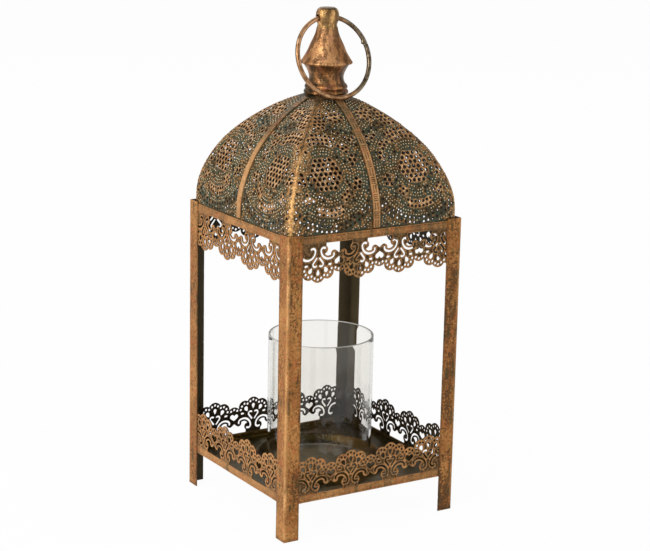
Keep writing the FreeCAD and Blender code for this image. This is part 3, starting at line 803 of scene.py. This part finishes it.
def make_strip(kind, number, pattern):
    """Stamped strip with softened cut edges, which wanders a little between its posts. The
    middles of its lace are dark and its edges brighter, partly wear and partly a painted
    highlight, while its band is even."""
    sheet, depth = pattern
    rims, flat = sheet[:2]
    name = kind + "_" + FACES[number]
    soiled = STRIP_GRIME[number] * (1 if kind == "frieze" else GALLERY_SHARE)
    grime_and_shade = soiled * 0.8 + 0.25 * drift(flat, 40.0, 13 + number)
    low, high = rims[0][:, 1].min(), rims[0][:, 1].max()
    from_band = high - flat[:, 1] if kind == "frieze" else flat[:, 1] - low
    broad = smoothstep(0.06, 0.42, depth) * smoothstep(BAND - 1.5, BAND + 1.0, from_band)
    middle = max(soiled, 0.62) * (0.30 + 0.5 * broad)
    # partly wear, partly a painted highlight: the sheet is brightened next to its cut edges
    wear_and_highlight = np.where(depth > 2.0, 0.25, 0.85 * (1 - smoothstep(0.0, 0.38, depth)))

    def place(spots, lift):
        held = 1 - smoothstep(56.0, 66.0, np.abs(spots[:, 0]))
        wander = held * 0.10 * (1 + drift(spots, 30.0, 7 * number + len(kind)))
        return turned(joined(spots[:, 0], wander - STRIP_FACE - lift, spots[:, 1]), number)

    pierced_sheet(name + "_stamped", sheet, [-RIM_DROP] * len(rims), SHEET, place,
                  STRIP, [name],
                  {"grime_and_shade": (grime_and_shade, 0.4, 0, 0), "middle": (middle, 0, 0, 0), "wear_and_highlight": (wear_and_highlight, 0, 0, 0)})


FRIEZE = strip_sheet("frieze", 1)
GALLERY = strip_sheet("gallery", 0)
make_strip("frieze", 0, strip_sheet("frieze", 0))
for number in range(1, 4):
    make_strip("frieze", number, FRIEZE)
for number in range(4):
    make_strip("gallery", number, GALLERY)


# Dome

OUTLINE = smooth_through(
    [(reach * EAVE_REACH, DOME_FOOT + rise * DOME_RISE) for reach, rise in PROFILE_SHARES], 900)
ALONG = lengths_along(OUTLINE)
TANGENT = np.gradient(OUTLINE, axis=0)
TANGENT /= np.linalg.norm(TANGENT, axis=1, keepdims=True)
TOP = ALONG[-1]


def outline_at(along):
    """Reach, height and outward normal of the dome's middle line, at a length from its foot."""
    reach, height = at_lengths(along, ALONG, OUTLINE)
    outwards, upwards = at_lengths(along, ALONG, TANGENT)
    return reach, height, upwards, -outwards


def hip_bend(reach):
    """Radius of the hip's bend, which grows evenly from the crown to the eave."""
    return HIP_BEND_CROWN + (HIP_BEND_EAVE - HIP_BEND_CROWN) * reach / EAVE_REACH


def hip_across(along):
    """Width of a gore from the face's middle to the hip, measured round the hip's bend."""
    reach = outline_at(along)[0]
    bend = hip_bend(reach)
    return reach - bend + bend * math.pi / 4


def dome_point(across, along, lift):
    """Point of the front face: flat across to where the hip's bend starts, then round it."""
    reach, height, out, up = outline_at(along)
    bend = hip_bend(reach)
    flat = reach - bend
    beyond = np.maximum(np.abs(across) - flat, 0) / bend
    x = np.minimum(np.abs(across), flat) + bend * np.sin(beyond) + lift * out * np.sin(beyond)
    y = -(flat + bend * np.cos(beyond)) - lift * out * np.cos(beyond)
    return joined(np.sign(across) * x, y, height + lift * up)


# Lengths on the flat gore go across from the face's middle, and up from the dome's foot
SEAM_TOP = 66.0
PIN_TOP = 38.0
FOOT = 5.5                        # where the strips' top is
FIELD = (38.0, 43.0 + FOOT)
FIELD_PITCH = 4.1
PETALS = (                        # bearing, half sweep and radii of each cluster round the field
    (98.0, 21.0, (24.6, 28.2, 31.8)),
    (137.0, 6.0, (27.0, 30.4)),
    (158.0, 7.0, (25.0, 28.4)),
    (200.0, 7.0, (25.0, 28.4)),
    (232.0, 8.0, (20.6, 24.0)),
    (270.0, 21.0, (26.6, 30.2)),
    (315.0, 8.0, (23.5, 27.0)),
    (352.0, 9.0, (20.0, 23.5)),
    (48.0, 8.0, (21.0, 24.5)),
)
CREST = (13.0, 91.0 + FOOT)
SHOULDER = (30.5, 87.0 + FOOT)
SMALL_FIELD = (26.0, 97.0 + FOOT)
BY_THE_STRAP = ((6.0, 70.0 + FOOT), (9.6, 68.4 + FOOT), (8.0, 72.4 + FOOT), (12.6, 70.6 + FOOT))
EAVE_RADII = (38.6, 42.2)
LARGE, UPPER, LOWER, MIDDLE, PIN = 1.20, 1.04, 0.88, 0.84, 0.62
HOLE_SIDES = {LARGE: 14, UPPER: 14, LOWER: 12, MIDDLE: 12, PIN: 10}
SHOULDER_GROWTH = 0.44
DOT_FOOT = 0.80
DOT_SIDES = 8
DOT_PITCH = 2.3
EDGE_GAP = 0.03                   # from a gore to the face's middle, under the strap


def ring_of(centre, radius, pitch, start=0.0):
    """Holes evenly round a circle, about a pitch apart."""
    count = max(1, round(2 * math.pi * radius / pitch))
    return on_circle(centre, radius, start + round_of(count))


def cluster(centre, bearing, sweep, radii, pitch):
    """Staggered rows of holes along arcs about a centre."""
    rows = []
    for row, radius in enumerate(radii):
        step = math.degrees(pitch / radius)
        count = max(1, round(2 * sweep / step) + (row + 1) % 2)
        bearings = np.radians(bearing + (np.arange(count) - (count - 1) / 2) * step)
        rows.append(on_circle(centre, radius, bearings))
    return np.concatenate(rows)


def hexagon(centre, rings, pitch):
    """Holes of a six-sided field in rows."""
    rows = []
    for row in range(-rings, rings + 1):
        count = 2 * rings + 1 - abs(row)
        x = (np.arange(count) - (count - 1) / 2) * pitch
        rows.append(joined(centre[0] + x, centre[1] + row * pitch * math.sqrt(3) / 2))
    return np.concatenate(rows)


def gore_groups():
    """Groups of middles with the radius of their holes, or 0 for dots. The large holes come
    first, then dots in rings round the field and the crest."""
    groups = [(hexagon(FIELD, 3, FIELD_PITCH), LARGE)]
    for bearing, sweep, radii in PETALS:
        radius = UPPER if bearing < 150 else LOWER if 230 < bearing < 330 else LARGE
        groups.append((cluster(FIELD, bearing, sweep, radii, 2.6 + radius * 0.9), radius))
    groups.append((hexagon(SHOULDER, 2, 3.7), UPPER))
    groups.append((hexagon(SMALL_FIELD, 1, 3.6), UPPER))
    groups.append((ring_of(CREST, 2.1, 4.0, 0.5), UPPER))
    groups.append((ring_of(CREST, 5.7, 3.9), UPPER))
    groups.append((np.array(BY_THE_STRAP), LARGE))
    groups += [(ring_of(FIELD, radius, 4.1, 0.02 * radius), MIDDLE) for radius in EAVE_RADII]
    for centre, first, last in ((FIELD, 15.6, 75.0), (CREST, 8.6, 30.0)):
        groups += [(ring_of(centre, radius, DOT_PITCH, radius), 0)
                   for radius in np.arange(first, last, DOT_PITCH)]
    return groups


def punch_gore():
    """Middles and radii of a gore's holes, and the middles of its dots. Each is shifted a little
    and kept if it clears the gore's edges and those before it. One dot in twenty is left out,
    low on the dome some of them are pin holes, and higher up a few are holes of middle size."""
    chance = np.random.default_rng(19)
    spots = np.zeros((0, 2))
    reaches = np.zeros(0)
    radii = np.zeros(0)
    for group, hole in gore_groups():
        for spot in group:
            draw, shift = chance.uniform(), chance.uniform(-0.22, 0.22, 2)
            if hole:
                shift = shift * 0.4
            elif draw > 0.95:
                continue
            spot = spot + shift
            radius = hole or (draw < 0.12 and spot[1] < PIN_TOP) * PIN or (draw < 0.06) * MIDDLE
            reach = radius + SHOULDER_GROWTH if radius else DOT_FOOT
            if spot[1] < FOOT + 0.6 or spot[1] > TOP - 5.0 - reach:
                continue
            if not STRAP_WIDTH / 2 + reach < spot[0] < hip_across(spot[1]) - (reach + 0.45) * 1.2:
                continue
            if len(reaches) and (np.hypot(*(spots - spot).T) < reaches + reach + 0.08).any():
                continue
            spots = np.append(spots, [spot], 0)
            reaches = np.append(reaches, reach)
            radii = np.append(radii, radius)
    return spots[radii > 0], radii[radii > 0], spots[radii == 0]


def copper_share(flat):
    """1 in the webs between the large holes, falling to 0 a little way out from them."""
    return 1 - smoothstep(1.9, 2.9, distance_to(flat, HOLES[HOLE_RADII >= LOWER]))


def crown_shade_share(flat):
    """Rises to 1 under the finial, where the dome is darkened as painted shade."""
    return smoothstep(TOP - 20.0, TOP - 7.0, flat[:, 1])


def hip_share(flat):
    """1 at the hip, falling to 0 fourteen millimetres from it."""
    return 1 - smoothstep(1.0, 14.0, hip_across(flat[:, 1]) - flat[:, 0])


def gore_outline():
    """Edge of a gore, anticlockwise from the foot of the face's middle."""
    levels = np.linspace(0, TOP, 90)
    hip = joined(hip_across(levels), levels)
    foot = joined(np.linspace(EDGE_GAP, hip[0, 0], 44)[:-1], 0.0)
    crown = joined(np.linspace(hip[-1, 0], EDGE_GAP, 9)[1:-1], TOP)
    middle = joined(EDGE_GAP, levels[::-1])[:-1]
    return np.concatenate((foot, hip, crown, middle))


def round_loops(middles, radii, sides, seed):
    """Clockwise loops of points round the middles, each started at a random bearing."""
    turns = np.random.default_rng(seed).uniform(0, 2 * np.pi, len(middles))
    return [on_circle(middle, radius, turn - round_of(count))
            for middle, radius, count, turn in zip(middles, radii, sides, turns)]


HOLES, HOLE_RADII, DOTS = punch_gore()
GORE_EDGE = gore_outline()
SIDES = [HOLE_SIDES[radius] for radius in HOLE_RADII]
GORE_SHEET = cut_sheet(
    [GORE_EDGE] + round_loops(HOLES, HOLE_RADII, SIDES, 11),
    [inset(GORE_EDGE, 0.25)] + round_loops(HOLES, HOLE_RADII + SHOULDER_GROWTH, SIDES, 11),
    dots=np.array(round_loops(DOTS, np.full(len(DOTS), DOT_FOOT), [DOT_SIDES] * len(DOTS), 12)))
GORE_LIFT = [-0.02] + [-0.24] * len(HOLES)
GORE_FLAT = GORE_SHEET[1]
GORE_MARKS = {"copper": (copper_share(GORE_FLAT), 0.6, 0, 0), "hip": (hip_share(GORE_FLAT), 0, 0, 0),
              "crown": (crown_shade_share(GORE_FLAT), 0, 0, 0)}


def make_gore(number, side):
    """Punched gore, right (1) or left (-1) of the face's middle, with shallow dents away from
    its foot and its hip."""
    name = "gore_" + FACES[number] + "_" + FACES[(number + side) % 4]

    def place(spots, lift):
        across, along = spots[:, 0], spots[:, 1]
        dent = 0.14 * (drift(spots, 22.0, 90 + 2 * number + side) - 1.0)
        dent = dent * smoothstep(0, 10, along) * smoothstep(0, 6, hip_across(along) - across)
        return turned(dome_point(across, along, lift + dent) * (side, 1, 1), number)

    pierced_sheet(name + "_punched", GORE_SHEET, GORE_LIFT, PUNCHED_SHEET, place,
                  PATINA, [name], GORE_MARKS)


def slab(across, along, top, under, quarter):
    """Points and faces of a closed bar that lies on the dome between two lifts. A row of its
    grid goes across its top and back across its underside."""
    over = dome_point(across, along, top)
    below = dome_point(across, along, under)
    points = np.concatenate((over, below[:, ::-1]), 1)
    return turned(points, quarter), bar_faces(*points.shape[:2])


def make_seam(number):
    """Solder run over a hip: a half-round bead whose two sides are ragged by drifts of two
    lengths, narrower and lower towards its top."""
    along = np.linspace(FOOT + 0.3, SEAM_TOP, 260)[:, None]
    across = np.linspace(-1, 1, 17)[None]
    fade = 1 - 0.75 * smoothstep(20.0, SEAM_TOP, along)
    ragged = []
    for seed in (120, 140):
        teeth = 0.7 * drift(along, 8.0, seed + number) + 0.6 * drift(along, 2.8, seed + number + 5)
        ragged.append(0.5 + fade * np.maximum(1.5 + teeth[:, None], 0.1))
    aside = across * np.where(across < 0, ragged[0], ragged[1])
    lumps = 0.26 + 0.10 * drift(joined(aside, along), 3.2, 160 + number)
    swell = np.sqrt(1 - across ** 2) * lumps * fade
    points, faces = slab(hip_across(along) + aside, along, swell - 0.04, -0.16, number)
    make_piece("hip_seam_" + CORNERS[(number + 1) % 4], points, faces, SOLDER,
               marks={"side": np.concatenate((across ** 2, across ** 2), 1)})


for number in range(4):
    make_gore(number, 1)
    make_gore(number, -1)
    make_seam(number)


# Straps

PRESS_PERIOD = 12.5               # of a block of cross lines and one of lengthwise lines
CROSS_END = 0.46                  # shares of the period
LENGTH_START, LENGTH_END = 0.52, 0.95
PRESS_WIDTH = 0.66                # share of the strap's width
PRESS_DEPTH = 0.34


def make_strap(number, embossed):
    """Strap up the middle of a face: a slab with soft edges. Where it is embossed, blocks of
    four cross lines and of two lengthwise lines are pressed into it as cosine waves. It is
    darker at its foot and towards its top, partly tarnish and partly painted shade under the
    finial and at the frieze, and its pressed grooves are darkened as painted shade."""
    along = np.linspace(FOOT + 0.7, TOP - 5.4, 460)[:, None]
    across = np.linspace(-1, 1, 25)[None]
    soft = np.sqrt(np.clip(1 - ((np.abs(across) - 0.86) / 0.14).clip(0) ** 2, 0, 1))
    lift = SEAT_GAP + 0.12 + (STRAP_THICKNESS - 0.16) * soft
    if embossed:
        share = (along % PRESS_PERIOD) / PRESS_PERIOD
        cross = (share < CROSS_END) * 0.5 * (1 - np.cos(2 * np.pi * share / CROSS_END * 4))
        length = (share > LENGTH_START) * (share < LENGTH_END) * 0.5
        length = length * (1 - np.cos(2 * np.pi * (across / PRESS_WIDTH + 1)))
        lift = lift - PRESS_DEPTH * (cross + length) * (np.abs(across) < PRESS_WIDTH)
    lift = lift - 0.05 * (1 + drift(joined(across * 3, along), 9.0, 33 + number))
    narrow = 0.12 * (1 + drift(joined(0.0, along), 12.0, 21 + number))
    points, faces = slab(across * (STRAP_WIDTH - narrow) / 2, along, lift, SEAT_GAP, number)
    rim = np.concatenate((np.abs(across) ** 8, np.ones(across.shape)), 1) * 0.7
    # partly tarnish, partly painted shade: darker towards the top under the finial and near the foot at the
    # frieze
    golden = 1 - smoothstep(50.0, 84.0, along) * (0.6 if embossed else 1)
    golden = golden * (1 - 0.45 * (1 - smoothstep(FOOT + 4.0, FOOT + 20.0, along)))
    # painted shade: the pressed grooves are darkened through the rim mark
    groove = np.concatenate(((STRAP_THICKNESS - 0.06 - lift) * 3.0, 0 * lift), 1).clip(0, 1) * embossed
    rim = np.maximum(rim, groove)
    name = "strap_" + FACES[number]
    make_piece(name + "_pressed", points, faces, STRAP, [name],
               marks={"rim": rim, "wear_and_highlight": 0.85 * (1 - rim) * golden,
                      "grime_and_shade": 0.3 * embossed + 1.1 * (1 - golden), "middle": 0.42 * (1 - golden)})


for number in range(4):
    make_strap(number, number % 2 == 0)


# Turned pieces

TURNED_SHARP = 50.0               # degrees


def make_turned(name, node, outline, finish, segments=144, wobble=0.0, seed=1, body="lantern",
                marks=None):
    """Closed outline of radius and height carried round the axis; wobble dents it inwards.
    Marks are named numbers of the outline's points."""
    bearings = round_of(segments)
    points = round_axis(outline[:, :1], bearings, outline[:, 1:])
    points += round_axis(wobble * (drift(points, 11.0, seed) - 1.1), bearings, 0.0)
    marks = {mark: values[:, None] for mark, values in (marks or {}).items()}
    faces = hoop_faces(len(outline), segments)
    make_piece(name, points, faces, finish, [node], body, marks, TURNED_SHARP)


def make_glass():
    """Section of the glass wall, straight with a half-round lip at each end, carried round the
    axis. The lips are marked, the lower one less."""
    lip = GLASS_WALL / 2
    middle = GLASS_RADIUS - lip
    low, high = TRAY_TOP + lip, TRAY_TOP + GLASS_HEIGHT - lip
    half_turn = np.linspace(0, np.pi, 11)
    rise = np.linspace(0, 1, 26)[1:-1]
    section = np.concatenate((
        on_circle((middle, low), -lip, half_turn), joined(middle + lip, low + (high - low) * rise),
        on_circle((middle, high), lip, half_turn), joined(middle - lip, high + (low - high) * rise)))
    above = section[:, 1] - TRAY_TOP - GLASS_HEIGHT / 2
    on_lip = (np.abs(above) > GLASS_HEIGHT / 2 - lip + 0.01) * np.where(above > 0, 1.0, 0.35)
    make_turned("glass_drawn", "glass_chimney", section, GLASS, 160,
                body="chimney", marks={"lip": on_lip})


def finial_foot_outline():
    """Flange, bead, drum, waist and flared top, then the inside wall back down: radius and
    height over the dome's crown."""
    return np.concatenate((
        [(ROD_HOLE, 0.0), (9.0, 0.0)],
        smooth_through([(16.0, 0.0), (16.6, 0.5), (16.5, 2.4), (15.9, 3.1)], 8),
        smooth_through([(15.5, 3.4), (16.0, 4.4), (16.0, 5.8), (15.1, 7.2)], 12),
        smooth_through([(14.2, 8.0), (13.4, 9.8), (13.0, 12.4), (13.7, 15.6), (15.2, 18.8),
                        (17.2, 21.8)], 30),
        [(17.4, 22.4)],
        smooth_through([(16.3, 22.4), (13.9, 18.6), (12.2, 13.0), (12.6, 8.6), (13.6, 5.0),
                        (13.6, 1.4)], 24),
        [(ROD_HOLE, 1.1)],
    ))


def finial_bell_outline():
    """Sharp rim, hollow cone and neck, then the inside wall back down: radius and height over
    the dome's crown."""
    return np.concatenate((
        [(16.6, 22.4), (17.9, 22.4)],
        smooth_through([(18.9, 22.5), (19.55, 23.0), (19.4, 23.9), (18.7, 24.9)], 9),
        smooth_through([(18.2, 25.6), (15.4, 30.4), (13.0, 35.8), (10.6, 40.8), (9.1, 44.4),
                        (8.4, 46.9), (8.15, 48.0)], 44),
        [(8.05, 48.55), (ROD_HOLE, 48.55), (ROD_HOLE, 47.6)],
        smooth_through([(7.1, 46.9), (8.0, 44.0), (11.6, 36.4), (16.6, 25.0)], 24),
    ))


def make_knob():
    """Turned knob with a cross hole. Its side is cut flat with two round holes and rolled up,
    rings of points close its ends, and a bore joins the holes."""
    side = smooth_through([(8.0, 0.0), (7.5, 1.2), (7.25, 2.5), (7.75, 4.2), (8.5, 6.2), (8.72, 8.4),
                           (8.5, 10.9), (7.85, 13.0), (6.8, 14.5), (5.4, 15.25)], 48)
    side[:, 1] += KNOB_Z
    rise = lengths_along(side)
    girth = 2 * math.pi * KNOB_RADIUS
    columns, rows, hole_points = 96, 22, 28
    bevel, sunk = 0.5, 0.25
    across = np.linspace(0, girth, columns + 1)
    levels = np.linspace(0, rise[-1], rows)
    outline = np.concatenate((
        joined(across[:-1], 0.0), joined(girth, levels[:-1]),
        joined(across[:0:-1], rise[-1]), joined(0.0, levels[:0:-1])))
    hinge = np.interp(HINGE_Z, side[:, 1], rise)
    middles = np.array([(girth / 4, hinge), (girth * 3 / 4, hinge)])
    bearings = round_of(hole_points)[::-1]
    shoulders = [on_circle(middle, BORE + bevel, bearings) for middle in middles]
    rims = [on_circle(middle, BORE, bearings) for middle in middles]
    inner = np.stack(np.meshgrid(across[1:-1], levels[1:-1]), -1).reshape(-1, 2)
    inner = inner[distance_to(inner, middles) > BORE + bevel + 0.4]
    flat = np.concatenate([outline] + shoulders + [inner])

    # The right side of the flat outline is the left side, once it is rolled up
    right_top = columns + rows - 1
    left_top = right_top + columns
    same = np.arange(len(flat))
    same[columns:right_top + 1] = np.append(0, np.arange(len(outline) - 1, left_top - 1, -1))
    triangles = same[between([outline] + shoulders, inner)]

    def place(spots, lift=0.0):
        angle = spots[:, 0] / KNOB_RADIUS - math.pi / 2
        radius, height = at_lengths(spots[:, 1], rise, side)
        return round_axis(radius + lift, angle, height)

    loops = len(outline) + np.arange(2 * hole_points).reshape(2, hole_points)
    edges = len(flat) + np.arange(2 * hole_points).reshape(2, hole_points)
    mirror = edges[1][(hole_points // 2 - 1 - np.arange(hole_points)) % hole_points]
    quads = [np.stack((edges, np.roll(edges, -1, 1), np.roll(loops, -1, 1), loops), -1).reshape(-1, 4),
             np.stack((edges[0], mirror, np.roll(mirror, -1), np.roll(edges[0], -1)), 1)]
    points = [place(flat), place(rims[0], -sunk), place(rims[1], -sunk)]
    caps = [triangles]
    count = len(flat) + 2 * hole_points
    angle = across[:-1] / KNOB_RADIUS - math.pi / 2
    ends = ((np.arange(columns), KNOB_Z, -1), (np.arange(left_top, right_top, -1), side[-1, 1], 1))
    for ring, level, sign in ends:
        for radius, dip in ((4.0, 0.12), (2.2, 0.13)):
            points.append(round_axis(radius, angle, level + sign * dip))
            ahead = count + np.arange(columns)
            quads.append(np.stack((ring, np.roll(ring, -1), np.roll(ahead, -1), ahead), 1)[:, ::sign])
            ring = ahead
            count += columns
        points.append(np.array([(0.0, 0.0, level + sign * 0.13)]))
        caps.append(np.stack((ring, np.roll(ring, -1), np.full(columns, count)), 1)[:, ::sign])
        count += 1
    make_piece("finial_knob_turned", np.concatenate(points), [np.concatenate(caps), np.concatenate(quads)],
               KNOB, ["finial_knob"], sharp=TURNED_SHARP)


make_glass()
make_turned("finial_foot_spun", "finial_foot", finial_foot_outline() + (0, CROWN_Z),
            FOOT_COPPER, wobble=0.06, seed=3)
make_turned("finial_bell_spun", "finial_bell", finial_bell_outline() + (0, CROWN_Z),
            SPUN, wobble=0.08, seed=4)
make_knob()


# Ring

def make_ring():
    """Round wire bent to a ring. A little above its right-hand side is its joint: the wire is
    thinner there by a narrow bell curve, and beside it a nub stands inwards by a wider one."""
    turns, sides = 240, 24
    around = round_of(turns)
    small = round_of(sides)
    right = np.array((1.0, 0, 0))
    hang = np.array((0, -math.sin(RING_REST), -math.cos(RING_REST)))
    centre = np.array((0, 0, HINGE_Z)) + HINGE_OFFSET * hang
    out = np.cos(around)[:, None] * right - np.sin(around)[:, None] * hang
    side = np.cross(right, hang)
    joint = math.radians(17.0)
    off = RING_RADIUS * (around - joint)
    wire = RING_WIRE - 0.05 * (1 + drift(on_circle((0, 0), 30, around), 12.0, 8)) / 2
    wire = wire - 0.55 * np.exp(-(off / 0.35) ** 2)
    nub = 1.5 * np.exp(-((off - 1.4) / 1.3) ** 2)
    inward = np.maximum(-np.cos(small), 0)[None] * nub[:, None]
    reach = RING_RADIUS + (wire[:, None] + inward) * np.cos(small)
    points = (centre + reach[..., None] * out[:, None]
              + ((wire[:, None] * np.sin(small))[..., None] * side))
    make_piece("ring_wire_bent", points, hoop_faces(turns, sides), WIRE,
               ["ring_handle"], "ring")


make_ring()


# Tray

def make_tray():
    """Pan in one sheet: flat middle, round pressed ridge, flat to the square, and a turned-up
    edge. Rings of points go from the middle out, blend from circle to square, and come back
    underneath. Each ring has a radius, a height and its share of the square."""
    square = rounded([(1, -1), (1, 1), (-1, 1), (-1, -1)], (0.05,) * 4, 13)
    square = filled(square, 2 / 58)
    circle = on_circle((0, 0), 1, np.arctan2(square[:, 1], square[:, 0]))
    ridge_end = RIDGE_RADIUS + 5.4
    ridge = smooth_through([(42.6, 0), (44.4, 1.2), (47.2, 5.4), (RIDGE_RADIUS, 6.5), (50.2, 5.4),
                            (52.6, 1.2), (ridge_end, 0)], 34)
    steps = np.linspace(0, 1, 7)[1:]
    bend = np.linspace(0, np.pi / 2, 6)[1:]
    bend_start = 70.8
    outer, inner = 2.6, 1.8
    path = [(radius, 0.0, 0.0) for radius in (0.6, 8, 16, 24, 32, 39, 41.8)]
    path += [(radius, height, 0.0) for radius, height in ridge]
    path += [(ridge_end + (bend_start - ridge_end) * share, 0.0, share) for share in steps]
    path += [(bend_start + inner * math.sin(angle), inner * (1 - math.cos(angle)), 1.0) for angle in bend]
    path += [(72.6, TRAY_EDGE - 0.2, 1.0), (72.75, TRAY_EDGE, 1.0)]
    path += [(73.2, TRAY_EDGE, 1.0), (TRAY_REACH, TRAY_EDGE - 0.3, 1.0)]
    path += [(bend_start + outer * math.sin(angle), inner - outer * math.cos(angle), 1.0)
             for angle in bend[::-1]]
    path += [(ridge_end + (bend_start - ridge_end) * share, -SHEET, share) for share in steps[::-1]]
    path += [(radius, height - SHEET, 0.0) for radius, height in ridge[::-1]]
    path += [(radius, -SHEET, 0.0) for radius in (39, 24, 8, 0.6)]
    radius, height, share = np.array(path).T[..., None]
    x, y = (radius * ((1 - share) * circle[:, axis] + share * square[:, axis]) for axis in (0, 1))
    calm = smoothstep(41.0, 44.0, radius) * (1 - smoothstep(66.0, 71.0, radius))
    z = TRAY_TOP + height + 0.12 * drift(joined(x, y), 40.0, 5) * calm
    rows = len(path)
    on_top = np.arange(rows)[:, None] < rows // 2
    # marks the ridge and the edge's top for wear and a painted highlight
    wear_and_highlight = np.maximum(np.exp(-((radius - RIDGE_RADIUS) / 2.2) ** 2) * on_top, height > TRAY_EDGE - 0.4)
    make_piece("tray_pressed", joined(x, y, z), bar_faces(rows, len(square)), TRAY, ["tray"],
               marks={"wear_and_highlight": wear_and_highlight})


make_tray()


# Solids that stay

for name in ("finial_rod", "crown_washer", "crown_nut"):
    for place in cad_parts[name].material_slots:
        place.material = STEEL


# Room

FLOOR_RADIUS = 16.0
FLOOR_Z = -0.0002
LAMP_AIM = (0, 0, 0.2)


def make_floor():
    """Round pale floor. Seen by the camera or in gloss and glass it reads as a white studio."""
    finish = Finish("studio_floor")
    spread = finish.node("BsdfDiffuse", inputs={"Color": (0.82, 0.82, 0.81, 1)})
    glow = finish.node("Emission", inputs={"Color": WHITE, "Strength": 1.0})
    rays = [finish.node("LightPath", output=kind) for kind in
            ("Is Camera Ray", "Is Glossy Ray", "Is Transmission Ray")]
    seen = finish.node("Clamp", inputs={"Value": rays[0] + rays[1] * 0.4 + rays[2]})
    finish.show(finish.node("MixShader", inputs={0: seen * 0.97, 1: spread, 2: glow}))
    corners = 96
    mesh = bpy.data.meshes.new("studio_floor")
    ring = round_axis(FLOOR_RADIUS, round_of(corners), FLOOR_Z)
    mesh.from_pydata(ring.tolist(), [], [list(range(corners))])
    mesh.materials.append(finish.material)
    add_object("studio_floor", mesh)


def make_lamp(name, place, size, power):
    """White area lamp that looks at the lantern."""
    lamp = bpy.data.lights.new(name, "AREA")
    lamp.shape = "RECTANGLE"
    lamp.size, lamp.size_y = size
    lamp.energy = power
    holder = add_object(name, lamp)
    holder.location = place
    aim = Vector(LAMP_AIM) - Vector(place)
    holder.rotation_euler = aim.to_track_quat("-Z", "Y").to_euler()


def make_world():
    """Even pale surround, white where the camera sees it, also through glass."""
    world = bpy.data.worlds.new("studio")
    bpy.context.scene.world = world
    nodes = Nodes(world)
    rays = [nodes.node("LightPath", output=kind) for kind in ("Is Camera Ray", "Is Transmission Ray")]
    strength = (rays[0] + rays[1]) * 0.58 + 0.42
    light = nodes.node("Background", inputs={"Color": WHITE, "Strength": strength})
    nodes.node("OutputWorld", inputs={"Surface": light})


make_floor()
make_world()
make_lamp("key", (-2.2, -0.5, 1.4), (2.0, 2.0), 56)
make_lamp("fill", (1.5, -1.7, 0.9), (1.6, 1.6), 6)
make_lamp("rear", (0.6, 1.8, 1.6), (1.6, 1.2), 10)


# Camera

AZIMUTH, ELEVATION, ROLL = (math.radians(angle) for angle in (-31.878, 13.872, 1.169))
DISTANCE = 1.4579
AIM_HEIGHT = 0.1778
AIM_ASIDE = 0.0021
SENSOR = 36.0
FOCAL_SHARE = 1905.48 / 650       # focal length over the picture's width, both in pixels


def make_camera():
    """Camera at the measured bearing, height and distance, with its small roll."""
    right = Vector((math.cos(AZIMUTH), math.sin(AZIMUTH), 0))
    back = Vector((math.sin(AZIMUTH) * math.cos(ELEVATION), -math.cos(AZIMUTH) * math.cos(ELEVATION),
                   math.sin(ELEVATION)))
    tilted = right * math.cos(ROLL) + back.cross(right) * math.sin(ROLL)
    camera = bpy.data.cameras.new("camera")
    camera.sensor_width = SENSOR
    camera.lens = SENSOR * FOCAL_SHARE
    camera.clip_end = 60.0
    stand = Matrix((tilted, back.cross(tilted), back)).transposed().to_4x4()
    stand.translation = Vector((0, 0, AIM_HEIGHT)) + right * AIM_ASIDE + back * DISTANCE
    holder = add_object("camera", camera)
    holder.matrix_world = stand
    bpy.context.scene.camera = holder


make_camera()
bpy.context.scene.view_settings.view_transform = "Standard"
